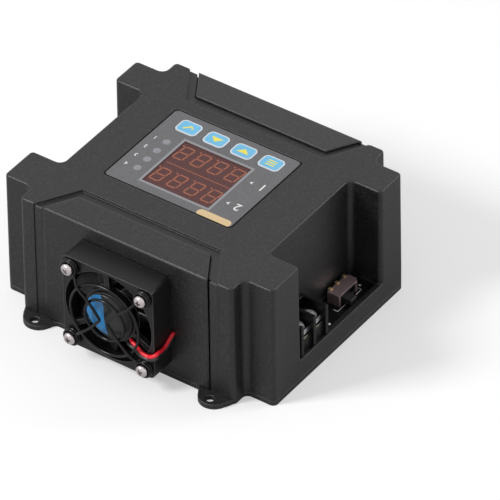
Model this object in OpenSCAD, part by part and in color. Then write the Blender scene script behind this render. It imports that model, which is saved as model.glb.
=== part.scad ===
// Programmable dc power supply in a moulded plastic case, in millimetres.
// The origin is the centre of the underside of the base plate. +X points at
// the side with the output terminals and the slide switch, the fan is on the
// -Y end, and +Z is up.

/* [Case] */
// Width of the case over its side blocks
case_w = 119; // [117:1:127]
// Depth of the case over its two ends
case_d = 97; // [96:1:104]
// Height of the case with its base plate
case_h = 53; // [52:1:60]
// Depth of the case over its side blocks
block_d = 82; // [80:1:84]
// Width of the two ends that stand out in front of and behind the side blocks
end_w = 94; // [92:1:98]
// Thickness of the case wall
wall = 2.4; // [2:0.1:2.8]
// How far each side wall leans inward from the sill to the top edge
lean = 0.4; // [0.2:0.1:0.6]
// Radius along the top edge
edge_r = 0.8; // [0.5:0.1:1.5]
// Radius of the upright outer corners
corner_r = 2; // [1:0.2:3]
// Radius of the upright inner corners
inner_r = 2.4; // [1.6:0.2:4]

/* [Side bays] */
// Length of each open bay between the side blocks
bay_l = 50; // [48:1:51]
// How far the middle of the bays lies behind the middle of the case
bay_shift = 1.5; // [0:0.5:2.5]
// Depth of the bay from the side of the case
bay_depth = 13.5; // [13:0.5:15]
// Height of the sill above the power board
sill_rise = 1.8; // [1.2:0.2:2.4]

/* [End covers] */
// Width of the cover in each end of the case
cover_w = 73; // [70:1:75]
// Thickness of the cover
cover_t = 1.6; // [1.4:0.1:1.8]
// How far the top of the cover runs back over the roof
cover_run = 12.7; // [10:0.5:13]
// How much narrower each side of the cover is at the back of its top
cover_taper = 7.6; // [5:0.5:9]
// Width of the shallow channel round the cover
channel_w = 3.9; // [3:0.2:4.2]
// Depth of the channel
channel_t = 1; // [0.6:0.1:1.2]
// Gap between a cover and the case round it
cover_gap = 0.2; // [0.1:0.05:0.25]
// Width of the ledge that backs the edge of a cover
cover_ledge = 2.5; // [2:0.5:3]
// Number of upright air slots in the rear cover
slot_count = 11; // [7:1:13]
// Width of an air slot
slot_w = 2.2; // [1.6:0.2:2.6]
// Height of the air slots
slot_h = 26; // [20:1:30]

/* [Base plate] */
// Thickness of the base plate
base_t = 2; // [1.8:0.2:2.4]
// Distance between the mounting holes across the case
ear_span_x = 78; // [76:1:80]
// Distance between the mounting holes from front to back
ear_span_y = 104; // [103:1:106]
// Diameter of the mounting holes
ear_hole_d = 3.4; // [3:0.1:4]
// Width of a mounting ear
ear_w = 12; // [11:0.5:14]
// Edge of the ear in front of its hole
ear_edge = 3.3; // [3:0.1:4]
// Height of the standoffs under the power board
standoff_h = 4.9; // [4:0.1:6]

/* [Boards] */
// Thickness of the circuit boards
board_t = 1.6; // [1.2:0.1:2]
// Gap between the power board and the case wall
board_gap = 0.6; // [0.4:0.1:0.8]
// Half the distance between the power board's screws across the case
board_screw_x = 38; // [36:1:39]
// Half the distance between the power board's screws from front to back
board_screw_y = 31; // [30:1:33]

/* [Display and keys] */
// Width of the printed overlay
overlay_w = 56.4; // [56:0.2:58]
// Depth of the printed overlay
overlay_d = 46; // [45:0.5:48]
// Thickness of the overlay and of the recess that holds it
overlay_t = 0.4; // [0.3:0.05:0.5]
// Width of a four digit display module
display_w = 30; // [29:0.5:31]
// Depth of one display module
display_d = 14; // [13.5:0.1:14.4]
// Height of a display module
display_h = 7; // [6.5:0.1:7.5]
// Width of a key
key_w = 9.2; // [8:0.2:10]
// Depth of a key
key_d = 7.2; // [6:0.2:7.4]
// Distance between neighbouring keys
key_pitch = 12.2; // [11.6:0.1:12.4]
// How far a key travels
key_travel = 0.3; // [0.2:0.05:0.4]
// Diameter of the indicator lamps
lamp_d = 3; // [2:0.2:3.4]
// Distance between neighbouring indicator lamps
lamp_pitch = 6; // [5:0.1:6.4]

/* [Fan] */
// Width and height of the fan frame
fan_w = 40; // [39:0.5:41]
// Depth of the fan frame
fan_t = 10.5; // [10:0.5:12]
// Distance between the fan's screws
fan_pitch = 32; // [31.6:0.1:32.4]
// Height of the fan's axis above the underside
fan_z = 26.5; // [26:0.5:28]
// Diameter of the air duct through the fan
duct_d = 38; // [37:0.2:38.4]
// Diameter of the rotor over its blades
rotor_d = 37; // [35:0.2:37.2]
// Diameter of the rotor's hub
hub_d = 22.4; // [21:0.2:23]
// Number of blades
blade_count = 7; // [5:1:8]
// Diameter of the guard's wire
guard_wire = 1.1; // [1:0.1:1.4]
// Diameter of each fan lead
lead_d = 1.3; // [1.1:0.1:1.4]

/* [Terminals] */
// Distance between the two poles of a terminal block
pole_pitch = 7.62; // [7.62:0.01:8]
// Thickness of the walls between the poles
divider_t = 1.4; // [1:0.1:1.6]
// Height of a terminal block's dividers above the board
divider_h = 15.5; // [14:0.5:17]
// Height of the step that carries the contacts
step_h = 7.1; // [6.5:0.1:7.5]
// Diameter of a terminal screw's thread
pole_screw_d = 3.4; // [3:0.1:3.6]
// Diameter of a terminal screw's head
pole_head_d = 5.6; // [5:0.1:5.8]
// Gap under the clamp plate as it is stored
clamp_gap = 1.2; // [0.8:0.1:1.6]

/* [Slide switch] */
// Length of the slide switch
switch_l = 12.6; // [12:0.1:13]
// Width of the slide switch
switch_w = 5.4; // [4.6:0.1:5.6]
// Height of the slide switch
switch_h = 5; // [4.8:0.1:6]
// How far the switch's knob travels
knob_travel = 4; // [2:0.5:4]

/* [Hidden] */
$fn = 48;

// The case's planes
side_x = case_w / 2;
end_x = end_w / 2;
end_y = case_d / 2;
block_y = block_d / 2;
bay_x = side_x - bay_depth;
bay_front = bay_shift - bay_l / 2;
bay_rear = bay_shift + bay_l / 2;
roof_z = case_h - wall;
board_under = base_t + standoff_h;
board_top = board_under + board_t;
sill_z = board_top + sill_rise;
fit = 0.1;
arc_steps = 5;

// Each cover sits to the left in its opening, as seen from its own end
cover_play = cover_gap - 0.05;

// Screws that hold the base plate go up into a pillar in each side block
pillar_r = 3.5;
pillar_x = (bay_x + side_x) / 2 - 1;
pillar_front = (bay_front - block_y) / 2;
pillar_rear = (bay_rear + block_y) / 2;
pillars = [[pillar_x, pillar_front], [-pillar_x, pillar_front], [pillar_x, pillar_rear], [-pillar_x, pillar_rear]];
case_screw_r = 1.45;
case_screw_l = 10;
case_head_r = 2.8;
case_head_h = 1.1;

// The printed overlay is a little off the middle of the roof
overlay_x = -1.9;
overlay_y = 2.6;
overlay_r = 2;
overlay_gap = 0.25;
overlay_z = case_h - overlay_t;
face_x = overlay_x + 0.25;
face_y = overlay_y - 4.3;
display_top = overlay_z - 0.05;
control_top = display_top - display_h;
control_under = control_top - board_t;
window_w = display_w - 0.5;
window_d = 2 * display_d - 1;
key_y = face_y + display_d + 6.5;
key_x = overlay_x + 0.5;
key_r = 2;
key_t = 0.5;
key_gap = 0.15;
key_places = [for (k = [0:3]) [key_x + (1.5 - k) * key_pitch, key_y]];
key_drop = key_travel + 0.1;
stem_r = 1.7;
stem_sink = 1.5;
key_switch_w = 6;
key_switch_h = 3.5;
lamp_x = face_x - display_w / 2 - 4.95;
lamp_y = face_y + 0.2;
lamp_places = [for (k = [0:3]) [lamp_x, lamp_y + (1.5 - k) * lamp_pitch]];
control_w = overlay_w + 6.6;
control_d = overlay_d + 6.4;
control_screw_x = control_w / 2 - 3.3;
control_screw_y = control_d / 2 - 3.1;
control_screws = [for (i = [-1, 1], j = [-1, 1]) [overlay_x + i * control_screw_x, overlay_y + j * control_screw_y]];
control_boss_r = 2.8;
small_screw_r = 1.2;
small_screw_grip = 4;
small_head_r = 2.2;
small_head_h = 1.6;

board_screws = [for (i = [-1, 1], j = [-1, 1]) [i * board_screw_x, j * board_screw_y]];
board_screw_r = 1.45;
board_screw_grip = 4;
board_head_r = 2.8;
board_head_h = 1.9;

// Sockets on the boards and the plugs of the leads
socket_d = 5.6;
socket_wall = 0.8;
socket_floor = 1.6;
socket_h = 6.5;
fan_socket_w = 7.4;
link_socket_w = 13;
control_socket_w = 12.4;
control_socket_d = 6;
fan_socket = [28.2, -35];
link_low = [16, 32];
link_high = [16, 22];
control_socket = [-bay_x - 5.5, bay_shift + 14];
plug_z = 17.95;
upper_plug_z = 37.05;

// Parts that stand on the power board
sink_x = -7;
sink_y = -24;
sink_w = 54;
sink_d = 12;
sink_h = 27;
fin_count = 14;
fin_pitch = 3.6;
fin_gap = 2.2;
fin_depth = 8.6;
transistor_w = 10;
transistor_t = 4.4;
transistor_pitch = 13.4;
inner_x = bay_x - wall - lean;
input_can = [6.3, 21];
input_can_x = -(inner_x - 0.4 - input_can[0]);
input_can_places = [for (y = [-8, 7]) [input_can_x, y]];
output_can = [5, 17];
output_can_x = inner_x - 4.2 - output_can[0];
output_can_places = [for (y = [-8, 4, 16]) [output_can_x, y]];
core_out = 13.5;
core_in = 7.5;
core_h = 11;
wire_t = 1.3;
core_x = input_can_x + input_can[0] + 0.8 + core_out + wire_t + fit;
core_y = 7;
turns = 22;
shunt_place = [14, -4];
shunt_wire_r = 0.8;
shunt_span = 6;

// Fan: its own frame has +Z pointing out of the end of the case
rotor_back = 0.9;
rotor_front = 6.9;
strut_back = 7.2;
strut_t = fan_t - strut_back - 1.2;
cup_wall = 1.1;
shaft_r = 1;
bearing_r = 2.2;
socket_r = 3.2;
label_r = 9.3;
guard_r = 15;
guard_inner_r = 8.6;
guard_rise = 2.4;
eyelet_r = 3;
eyelet_turn = guard_wire - 0.1;
eyelet_h = guard_wire + eyelet_turn;
fan_screw_r = 1.45;
fan_head_r = 2.4;
fan_head_h = 1.8;
fan_boss_h = 5;
fan_boss_r = 3;
boss_end = 0.8;
fan_screw_l = fan_t + eyelet_h + lean + cover_t + fan_boss_h - 2 * boss_end;
fan_corners = [for (i = [-1, 1], j = [-1, 1]) [i * fan_pitch / 2, j * fan_pitch / 2]];
lead_hole_x = 19.6;
lead_hole_z = 20.4;
lead_hole_d = 4.2;

// Terminal blocks stand on the board in the front half of each bay
term_gap = 0.4;
term_back = bay_x + 0.2 + inner_r - sqrt(pow(inner_r, 2) - pow(inner_r - term_gap, 2));
term_front = side_x - 0.5;
term_y = bay_front + term_gap;
term_l = 2 * pole_pitch + divider_t;
pole_x = term_back + 6.5;
pole_ys = [for (k = [0:1]) term_y + divider_t / 2 + (k + 0.5) * pole_pitch];
cell_w = pole_pitch - divider_t;
step_z = board_top + step_h;
contact_t = 0.8;
contact_z = step_z + contact_t;
clamp_t = 0.9;
clamp_w = cell_w - 0.4;
clamp_edge = 0.6;
clamp_d = pole_head_d + 0.4 + 2 * clamp_edge;
clamp_z = contact_z + clamp_gap;
pole_head_h = 2.6;
pole_screw_len = 8;

switch_x = bay_x + 4.2;
switch_y = bay_front + 39.2;
switch_skin = 0.4;
switch_chamfer = 1.2;
knob_w = 3.6;
knob_h = 2.4;
knob_out = 3.4;
knob_in = 2.6;
knob_z = board_top + 0.7;

// Points of the fan leads from the motor to the plug on the power board
red_route = [
    [8.6, -57.3, 18.5], [10.3, -58.7, 19.3], [13, -59.4, 18.5], [15.5, -59.8, 17.3],
    [18, -59.9, 17.1], [19.8, -60, 18], [21, -59.4, 18.8], [21.1, -57.4, 18.9],
    [20.9, -54.6, 18.6], [20.8, -52.4, 19.3], [20.7, -50.4, 20.3], [20.7, -48.6, 21.1],
    [20.7, -46.4, 21.3], [20.8, -44, 21.9], [23.2, -40.4, 22.4], [25.6, -37.4, 22.6],
    [27, -35, 20.4], [27, -35, 19.2], [27, -35, 18]
];
black_route = [
    [7, -57.3, 17.1], [9, -58.7, 17.6], [12, -59.4, 17.1], [14.7, -59.8, 15.9],
    [17.8, -59.9, 15.6], [19.8, -60, 16.5], [21, -59.4, 17.3], [21.1, -57.4, 17.4],
    [20.9, -54.6, 17.1], [20.8, -52.4, 17.8], [20.7, -50.4, 18.9], [20.7, -48.6, 19.7],
    [20.7, -46.4, 19.9], [20.7, -44, 20.2], [23.8, -41.2, 20], [27.2, -39.4, 20.6],
    [29.2, -37, 21], [29.4, -35, 20], [29.4, -35, 19], [29.4, -35, 18]
];
link_route = [
    [16, 32, 18], [16, 32, 20], [16, 33, 23], [16, 34.4, 27], [16, 33.6, 31.4],
    [16, 29, 33.6], [16, 24, 33], [16, 22, 34.8], [16, 22, 36], [16, 22, 37]
];

// Directions and corner arcs of a right-angled outline
function unit(v) = v / norm(v);
function left_of(v) = [-v[1], v[0]];
function turn(a, b) = a[0] * b[1] - a[1] * b[0];
function corner_points(a, p, b, inset) =
    let (
        u = unit([p[0] - a[0], p[1] - a[1]]),
        v = unit([b[0] - p[0], b[1] - p[1]]),
        q = [p[0], p[1]] + inset * (left_of(u) + left_of(v)),
        r = max(0.3, p[2] - turn(u, v) * inset),
        c = q - r * u + r * v
    )
    [for (k = [0:arc_steps]) c - r * cos(90 * k / arc_steps) * v + r * sin(90 * k / arc_steps) * u];
function outline(corners, inset = 0) =
    let (n = len(corners))
    [for (i = [0:n - 1]) each corner_points(corners[(i + n - 1) % n], corners[i], corners[(i + 1) % n], inset)];
function plate_corners(w, d, r) =
    [[-w / 2, -d / 2, r], [w / 2, -d / 2, r], [w / 2, d / 2, r], [-w / 2, d / 2, r]];

// Corners of the case seen from above, anticlockwise, each with its radius
function bay_corners(front, rear) = [
    [side_x, front, corner_r], [bay_x, front, inner_r],
    [bay_x, rear, inner_r], [side_x, rear, corner_r]
];
function half_outline(open) = concat(
    [[-end_x, -end_y, corner_r], [end_x, -end_y, corner_r], [end_x, -block_y, inner_r]],
    [[side_x, -block_y, corner_r]],
    open ? bay_corners(bay_front, bay_rear) : [],
    [[side_x, block_y, corner_r], [end_x, block_y, inner_r]]
);
function other_half(open) = concat(
    [[end_x, end_y, corner_r], [-end_x, end_y, corner_r], [-end_x, block_y, inner_r]],
    [[-side_x, block_y, corner_r]],
    open ? [for (c = bay_corners(bay_rear, bay_front)) [-c[0], c[1], c[2]]] : [],
    [[-side_x, -block_y, corner_r], [-end_x, -block_y, inner_r]]
);
foot_corners = concat(half_outline(false), other_half(false));
case_corners = concat(half_outline(true), other_half(true));

// A closed wall through stacked outlines, each given as its inset and its height
module wall_of(corners, rings) {
    n = len(outline(corners));
    m = len(rings);
    points = [for (g = rings, p = outline(corners, g[0])) [p[0], p[1], g[1]]];
    faces = [
        for (j = [0:m - 1], i = [0:n - 1], half = [0, 1])
        let (
            a = j * n + i,
            b = j * n + (i + 1) % n,
            c = ((j + 1) % m) * n + (i + 1) % n,
            d = ((j + 1) % m) * n + i
        )
        half == 0 ? [a, d, c] : [a, c, b]
    ];
    polyhedron(points, faces);
}

// A smooth curve through the points of a cord's route
function smooth(a, b, c, d, t) =
    0.5 * (2 * b + (c - a) * t + (2 * a - 5 * b + 4 * c - d) * t * t + (3 * b - a - 3 * c + d) * t * t * t);
function curve(route, parts) =
    let (n = len(route))
    concat(
        [for (i = [0:n - 2], k = [0:parts - 1])
            smooth(route[max(i - 1, 0)], route[i], route[i + 1], route[min(i + 2, n - 1)], k / parts)],
        [route[n - 1]]
    );
function heading(path, i) = unit(path[min(i + 1, len(path) - 1)] - path[max(i - 1, 0)]);

// A section swept along a path; side_dir is a direction that the path never takes
module sweep(path, section, side_dir) {
    n = len(section);
    last = (len(path) - 1) * n;
    points = [
        for (i = [0:len(path) - 1])
        let (
            t = heading(path, i),
            u = unit(cross(side_dir, t)),
            v = cross(t, u)
        )
        for (s = section) path[i] + s[0] * u + s[1] * v
    ];
    faces = concat(
        [[for (i = [0:n - 1]) n - 1 - i]],
        [[for (i = [0:n - 1]) last + i]],
        [for (j = [0:len(path) - 2], i = [0:n - 1]) [j * n + i, j * n + (i + 1) % n, (j + 1) * n + (i + 1) % n]],
        [for (j = [0:len(path) - 2], i = [0:n - 1]) [j * n + i, (j + 1) * n + (i + 1) % n, (j + 1) * n + i]]
    );
    polyhedron(points, [for (f = faces) [for (k = [len(f) - 1:-1:0]) f[k]]]);
}
function ring_section(r, sides) = [for (k = [0:sides - 1]) r * [cos(360 * k / sides), sin(360 * k / sides)]];

// A pan head on a straight shank, the underside of the head at z = 0
module pan_screw(head_r, head_h, shank_r, shank_l, slot) {
    difference() {
        union() {
            rotate_extrude() polygon(concat(
                [[0, 0], [head_r, 0], [head_r, head_h * 0.45]],
                [for (k = [1:5]) [head_r * cos(18 * k), head_h * (0.45 + 0.55 * sin(18 * k))]]
            ));
            translate([0, 0, -shank_l]) cylinder(r = shank_r, h = shank_l + 0.1);
        }
        for (a = [0, 90]) {
            rotate(a) translate([-head_r * 0.55, -slot / 2, head_h * 0.5]) cube([head_r * 1.1, slot, head_h]);
        }
    }
}

// The flat shape of a cover's top: wide at the end of the case, narrower inboard
module cover_top(half_w, run, grow) {
    polygon([
        [-half_w - grow, -end_y - 1], [half_w + grow, -end_y - 1],
        [half_w + grow, -end_y], [half_w + grow - cover_taper * (run / cover_run), -end_y + run],
        [-half_w - grow + cover_taper * (run / cover_run), -end_y + run], [-half_w - grow, -end_y]
    ]);
}

// What is cut out of the case for the cover in its front end
module cover_seat() {
    half = cover_w / 2;
    seat_y = -end_y + lean + cover_t;
    inner = half - cover_ledge;
    translate([0, 0, case_h - channel_t]) linear_extrude(channel_t + 1)
        cover_top(half, cover_run + channel_w + 0.2, channel_w);
    translate([-half - channel_w, -end_y - 1, base_t - 1])
        cube([2 * (half + channel_w), 1 + channel_t, case_h]);
    translate([0, 0, case_h - cover_t]) linear_extrude(cover_t + 1)
        cover_top(half, cover_run + cover_gap, cover_gap);
    translate([-half - cover_gap, -end_y - 1, base_t - 1])
        cube([2 * (half + cover_gap), 1 + seat_y + end_y, case_h]);
    translate([-inner, -end_y - 1, base_t + cover_ledge])
        cube([2 * inner, 2 * wall + lean + 1, roof_z - base_t - cover_ledge + 0.01]);
    translate([0, 0, roof_z - 1]) linear_extrude(wall + 2)
        cover_top(inner, cover_run - cover_ledge, 0);
}

module case_solid() {
    translate([0, 0, base_t]) linear_extrude(sill_z - base_t) polygon(outline(foot_corners));
    translate([0, 0, roof_z]) linear_extrude(wall) polygon(outline(case_corners, lean + edge_r));
    wall_of(case_corners, concat(
        [[0, sill_z]],
        [for (k = [0:4]) [lean + edge_r * (1 - cos(22.5 * k)), case_h - edge_r + edge_r * sin(22.5 * k)]],
        [[lean + wall - 0.3, case_h], [lean + wall - 0.3, sill_z]]
    ));
}

module case_hollow() {
    skirt = board_top + 0.2;
    bay_floor_l = bay_l - term_gap;
    translate([0, 0, base_t - 1]) linear_extrude(skirt - base_t + 1) polygon(outline(foot_corners, wall));
    translate([0, 0, skirt - 0.1]) linear_extrude(roof_z - skirt + 0.1) polygon(outline(case_corners, wall + lean));
    for (s = [-1, 1]) {
        translate([s * (bay_x + side_x - wall) / 2 + s * 0.2, bay_shift, (skirt + sill_z) / 2])
            cube([bay_depth - wall - 0.4, bay_floor_l, sill_z - skirt + 1], center = true);
    }
}

module top_shell() {
    color([0.24, 0.24, 0.25]) difference() {
        union() {
            difference() {
                case_solid();
                case_hollow();
                cover_seat();
                mirror([0, 1, 0]) cover_seat();
                translate([overlay_x, overlay_y, overlay_z]) linear_extrude(overlay_t + 1)
                    polygon(outline(plate_corners(overlay_w + 2 * overlay_gap, overlay_d + 2 * overlay_gap, overlay_r)));
                translate([face_x, face_y, roof_z])
                    cube([display_w + 0.4, 2 * display_d + 0.4, 4 * wall], center = true);
                for (p = key_places) {
                    translate([p[0], p[1], overlay_z - key_drop]) linear_extrude(1)
                        polygon(outline(plate_corners(key_w + 0.4, key_d + 0.4, key_r)));
                    translate([p[0], p[1], roof_z - 1]) cylinder(r = stem_r + 0.35, h = wall + 1);
                }
                for (p = lamp_places) {
                    translate([p[0], p[1], roof_z - 1]) cylinder(d = lamp_d + 0.4, h = wall + 1);
                }
            }
            for (p = pillars) {
                translate([p[0], p[1], base_t]) cylinder(r = pillar_r, h = roof_z - base_t + 0.5);
            }
            for (p = control_screws) {
                translate([p[0], p[1], control_top]) cylinder(r = control_boss_r, h = roof_z - control_top + 0.5);
            }
        }
        for (p = pillars) {
            translate([p[0], p[1], base_t - 1]) cylinder(r = case_screw_r + 0.05, h = case_screw_l + 3);
        }
        for (p = control_screws) {
            translate([p[0], p[1], control_top - 1]) cylinder(r = small_screw_r + 0.05, h = small_screw_grip + 1.5);
        }
    }
}

// One mounting ear that points along -Y, filleted on its inner side and sloped on its outer side
module ear() {
    reach = ear_span_y / 2 + ear_edge - end_y;
    root = 2.5;
    translate([-ear_w / 2, -reach + ear_w / 2 - 1]) square([ear_w, 3 + reach - ear_w / 2 + 1]);
    polygon([[ear_w / 2, -2.5], [end_x - ear_span_x / 2, corner_r], [ear_w / 2, corner_r]]);
    intersection() {
        translate([0, -reach + ear_w / 2]) circle(d = ear_w);
        translate([-ear_w / 2, -reach]) square([ear_w, ear_w]);
    }
    difference() {
        translate([-ear_w / 2 - root, -root]) square(root + 0.1);
        translate([-ear_w / 2 - root, -root]) circle(r = root);
    }
}

module base_plate() {
    color([0.2, 0.2, 0.21]) difference() {
        union() {
            linear_extrude(base_t) union() {
                polygon(outline(foot_corners));
                for (m = [0, 1], s = [0, 1]) {
                    mirror([s, 0, 0]) mirror([0, m, 0]) translate([ear_span_x / 2, -end_y]) ear();
                }
            }
            difference() {
                translate([0, 0, base_t - 0.1]) linear_extrude(1.5) polygon(outline(foot_corners, wall + 0.2));
                translate([0, 0, base_t - 1]) linear_extrude(4) polygon(outline(foot_corners, wall + 1.2));
            }
            for (p = board_screws) {
                translate([p[0], p[1], base_t - 0.1]) cylinder(r = 3.5, h = standoff_h + 0.1);
            }
        }
        for (i = [-1, 1], j = [-1, 1]) {
            translate([i * ear_span_x / 2, j * ear_span_y / 2, -1]) cylinder(d = ear_hole_d, h = base_t + 2);
        }
        for (p = pillars) {
            translate([p[0], p[1], -1]) cylinder(r = case_screw_r + 0.2, h = base_t + 2);
            translate([p[0], p[1], -1]) cylinder(r = case_head_r + 0.3, h = case_head_h + 1.1);
        }
        for (p = board_screws) {
            translate([p[0], p[1], base_t - 0.8]) cylinder(r = board_screw_r + 0.05, h = standoff_h + 2);
        }
    }
}

module base_screws() {
    color([0.7, 0.7, 0.72]) for (p = pillars) {
        translate([p[0], p[1], case_head_h + 0.1]) rotate([180, 0, 0])
            pan_screw(case_head_r, case_head_h, case_screw_r, case_screw_l, 0.7);
    }
}

// The bent plate of a cover, its top lip tapered, with a rim that enters the case
module cover_plate(play) {
    half = cover_w / 2;
    top_y = -end_y + lean;
    inner = half - cover_ledge - cover_gap - 0.1;
    rim_y = -end_y + lean + cover_t;
    rim_low = base_t + cover_ledge + 0.2;
    rim_high = roof_z - 0.2;
    rim_t = 1.2;
    rim_depth = 2;
    translate([play, 0, 0]) intersection() {
        rotate([90, 0, 90]) translate([0, 0, -half]) linear_extrude(cover_w) polygon(concat(
            [[rim_y, base_t], [-end_y, base_t], [-end_y, sill_z]],
            [for (k = [0:4]) [top_y + edge_r * (1 - cos(22.5 * k)), case_h - edge_r + edge_r * sin(22.5 * k)]],
            [[-end_y + cover_run, case_h], [-end_y + cover_run, case_h - cover_t]],
            [[rim_y, case_h - cover_t]]
        ));
        translate([0, 0, -1]) linear_extrude(case_h + 2) cover_top(half, cover_run, 0);
    }
    translate([play, 0, 0]) difference() {
        translate([-inner, rim_y - 0.1, rim_low])
            cube([2 * inner, rim_depth + 0.1, rim_high - rim_low]);
        translate([-inner + rim_t, rim_y - 1, rim_low + rim_t])
            cube([2 * (inner - rim_t), rim_depth + 2, rim_high - rim_low - 2 * rim_t]);
    }
}

module front_end_cover() {
    color([0.25, 0.25, 0.26]) difference() {
        union() {
            cover_plate(-cover_play);
            for (p = fan_corners) {
                translate([p[0], -end_y + lean + cover_t - 0.1, fan_z + p[1]]) rotate([-90, 0, 0])
                    cylinder(r = fan_boss_r, h = fan_boss_h + 0.1);
            }
        }
        translate([0, -end_y - 1, fan_z]) rotate([-90, 0, 0]) cylinder(d = duct_d, h = 10);
        for (p = fan_corners) {
            translate([p[0], -end_y - 1, fan_z + p[1]]) rotate([-90, 0, 0])
                cylinder(r = fan_screw_r + 0.05, h = 1 + lean + cover_t + fan_boss_h - boss_end);
        }
        translate([lead_hole_x, -end_y - 1, lead_hole_z]) rotate([-90, 0, 0]) cylinder(d = lead_hole_d, h = 4);
    }
}

module rear_end_cover() {
    slot_pitch = (cover_w - 2 * cover_ledge - 6) / slot_count;
    color([0.25, 0.25, 0.26]) mirror([0, 1, 0]) difference() {
        cover_plate(cover_play);
        for (k = [0:slot_count - 1]) {
            x = (k - (slot_count - 1) / 2) * slot_pitch;
            translate([x - slot_w / 2, -end_y - 1, fan_z - slot_h / 2 + slot_w / 2])
                cube([slot_w, 5, slot_h - slot_w]);
            for (s = [-1, 1]) {
                translate([x, -end_y - 1, fan_z + s * (slot_h - slot_w) / 2]) rotate([-90, 0, 0])
                    cylinder(d = slot_w, h = 5, $fn = 16);
            }
        }
    }
}

module overlay() {
    color([0.45, 0.45, 0.46]) difference() {
        translate([overlay_x, overlay_y, overlay_z]) linear_extrude(overlay_t)
            polygon(outline(plate_corners(overlay_w, overlay_d, overlay_r)));
        translate([face_x, face_y, overlay_z - 1]) linear_extrude(3) square([window_w, window_d], center = true);
        for (p = key_places) {
            translate([p[0], p[1], overlay_z - 1]) linear_extrude(3)
                polygon(outline(plate_corners(key_w + 2 * key_gap, key_d + 2 * key_gap, key_r)));
        }
    }
}

module display_window() {
    color([0.33, 0.2, 0.22, 0.6]) translate([face_x, face_y, overlay_z]) linear_extrude(overlay_t - 0.05)
        square([window_w - 0.1, window_d - 0.1], center = true);
}

module key_cap(place) {
    color([0.45, 0.76, 0.92]) translate([place[0], place[1], overlay_z]) linear_extrude(key_t)
        polygon(outline(plate_corners(key_w, key_d, key_r)));
}
module key_menu() { key_cap(key_places[0]); }
module key_down() { key_cap(key_places[1]); }
module key_up() { key_cap(key_places[2]); }
module key_enter() { key_cap(key_places[3]); }

// The round actuator of a key switch, from inside its body up to the key
module key_stem(place) {
    body_top = control_top + key_switch_h;
    color([0.85, 0.84, 0.8]) translate([place[0], place[1], body_top - stem_sink])
        cylinder(r = stem_r, h = overlay_z - body_top + stem_sink);
}
module stem_menu() { key_stem(key_places[0]); }
module stem_down() { key_stem(key_places[1]); }
module stem_up() { key_stem(key_places[2]); }
module stem_enter() { key_stem(key_places[3]); }

module key_switches() {
    color([0.16, 0.16, 0.17]) for (p = key_places) {
        translate([p[0], p[1], control_top]) difference() {
            translate([-key_switch_w / 2, -key_switch_w / 2, 0])
                cube([key_switch_w, key_switch_w, key_switch_h]);
            translate([0, 0, key_switch_h - stem_sink - 0.6])
                cylinder(r = stem_r + fit, h = stem_sink + 2);
        }
    }
}

// A four digit module: a plain block with a chamfer round its face
module display_module(y) {
    translate([face_x, y, control_top]) difference() {
        translate([-display_w / 2, -display_d / 2, 0]) cube([display_w, display_d, display_h]);
        translate([-display_w / 2 + 1, -display_d / 2 + 1, -1])
            cube([display_w - 2, display_d - 2, 2.5]);
    }
}
module display_upper() { color([0.35, 0.2, 0.22]) display_module(face_y + display_d / 2); }
module display_lower() { color([0.35, 0.2, 0.22]) display_module(face_y - display_d / 2); }

module status_leds() {
    lens_r = lamp_d / 2;
    color([0.8, 0.8, 0.78]) for (p = lamp_places) {
        translate([p[0], p[1], control_top]) {
            cylinder(r = lens_r + 0.35, h = 1);
            cylinder(r = lens_r, h = display_h - 1.6);
            translate([0, 0, display_h - 1.6]) intersection() {
                sphere(r = lens_r);
                cylinder(r = lens_r, h = lens_r);
            }
        }
    }
}

module control_board() {
    color([0.07, 0.08, 0.08]) difference() {
        translate([overlay_x - control_w / 2, overlay_y - control_d / 2, control_under])
            cube([control_w, control_d, board_t]);
        for (p = control_screws) {
            translate([p[0], p[1], control_under - 1]) cylinder(r = small_screw_r + 0.3, h = 4);
        }
    }
}

module control_board_screws() {
    color([0.7, 0.7, 0.72]) for (p = control_screws) {
        translate([p[0], p[1], control_under]) rotate([180, 0, 0])
            pan_screw(small_head_r, small_head_h, small_screw_r, board_t + small_screw_grip, 0.6);
    }
}

module power_board() {
    board_x = side_x - wall - board_gap;
    board_y = block_y - wall - board_gap;
    color([0.07, 0.08, 0.08]) difference() {
        translate([-board_x, -board_y, board_under]) cube([2 * board_x, 2 * board_y, board_t]);
        for (p = pillars) {
            translate([p[0], p[1], board_under - 1]) cylinder(r = pillar_r + 0.4, h = 4);
        }
        for (p = board_screws) {
            translate([p[0], p[1], board_under - 1]) cylinder(r = board_screw_r + 0.2, h = 4);
        }
    }
}

module power_board_screws() {
    color([0.7, 0.7, 0.72]) for (p = board_screws) {
        translate([p[0], p[1], board_top])
            pan_screw(board_head_r, board_head_h, board_screw_r, board_t + board_screw_grip, 0.7);
    }
}

// An open-topped header for the plug of a lead
module socket(w, d) {
    difference() {
        translate([-w / 2, -d / 2, 0]) cube([w, d, socket_h]);
        translate([-w / 2 + socket_wall, -d / 2 + socket_wall, socket_floor])
            cube([w - 2 * socket_wall, d - 2 * socket_wall, socket_h]);
    }
}

module board_sockets() {
    color([0.9, 0.89, 0.84]) {
        translate([fan_socket[0], fan_socket[1], board_top]) socket(fan_socket_w, socket_d);
        translate([link_low[0], link_low[1], board_top]) socket(link_socket_w, socket_d);
        translate([link_high[0], link_high[1], control_under]) mirror([0, 0, 1])
            socket(link_socket_w, socket_d);
        translate([control_socket[0], control_socket[1], board_top])
            socket(control_socket_d, control_socket_w);
    }
}

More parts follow.
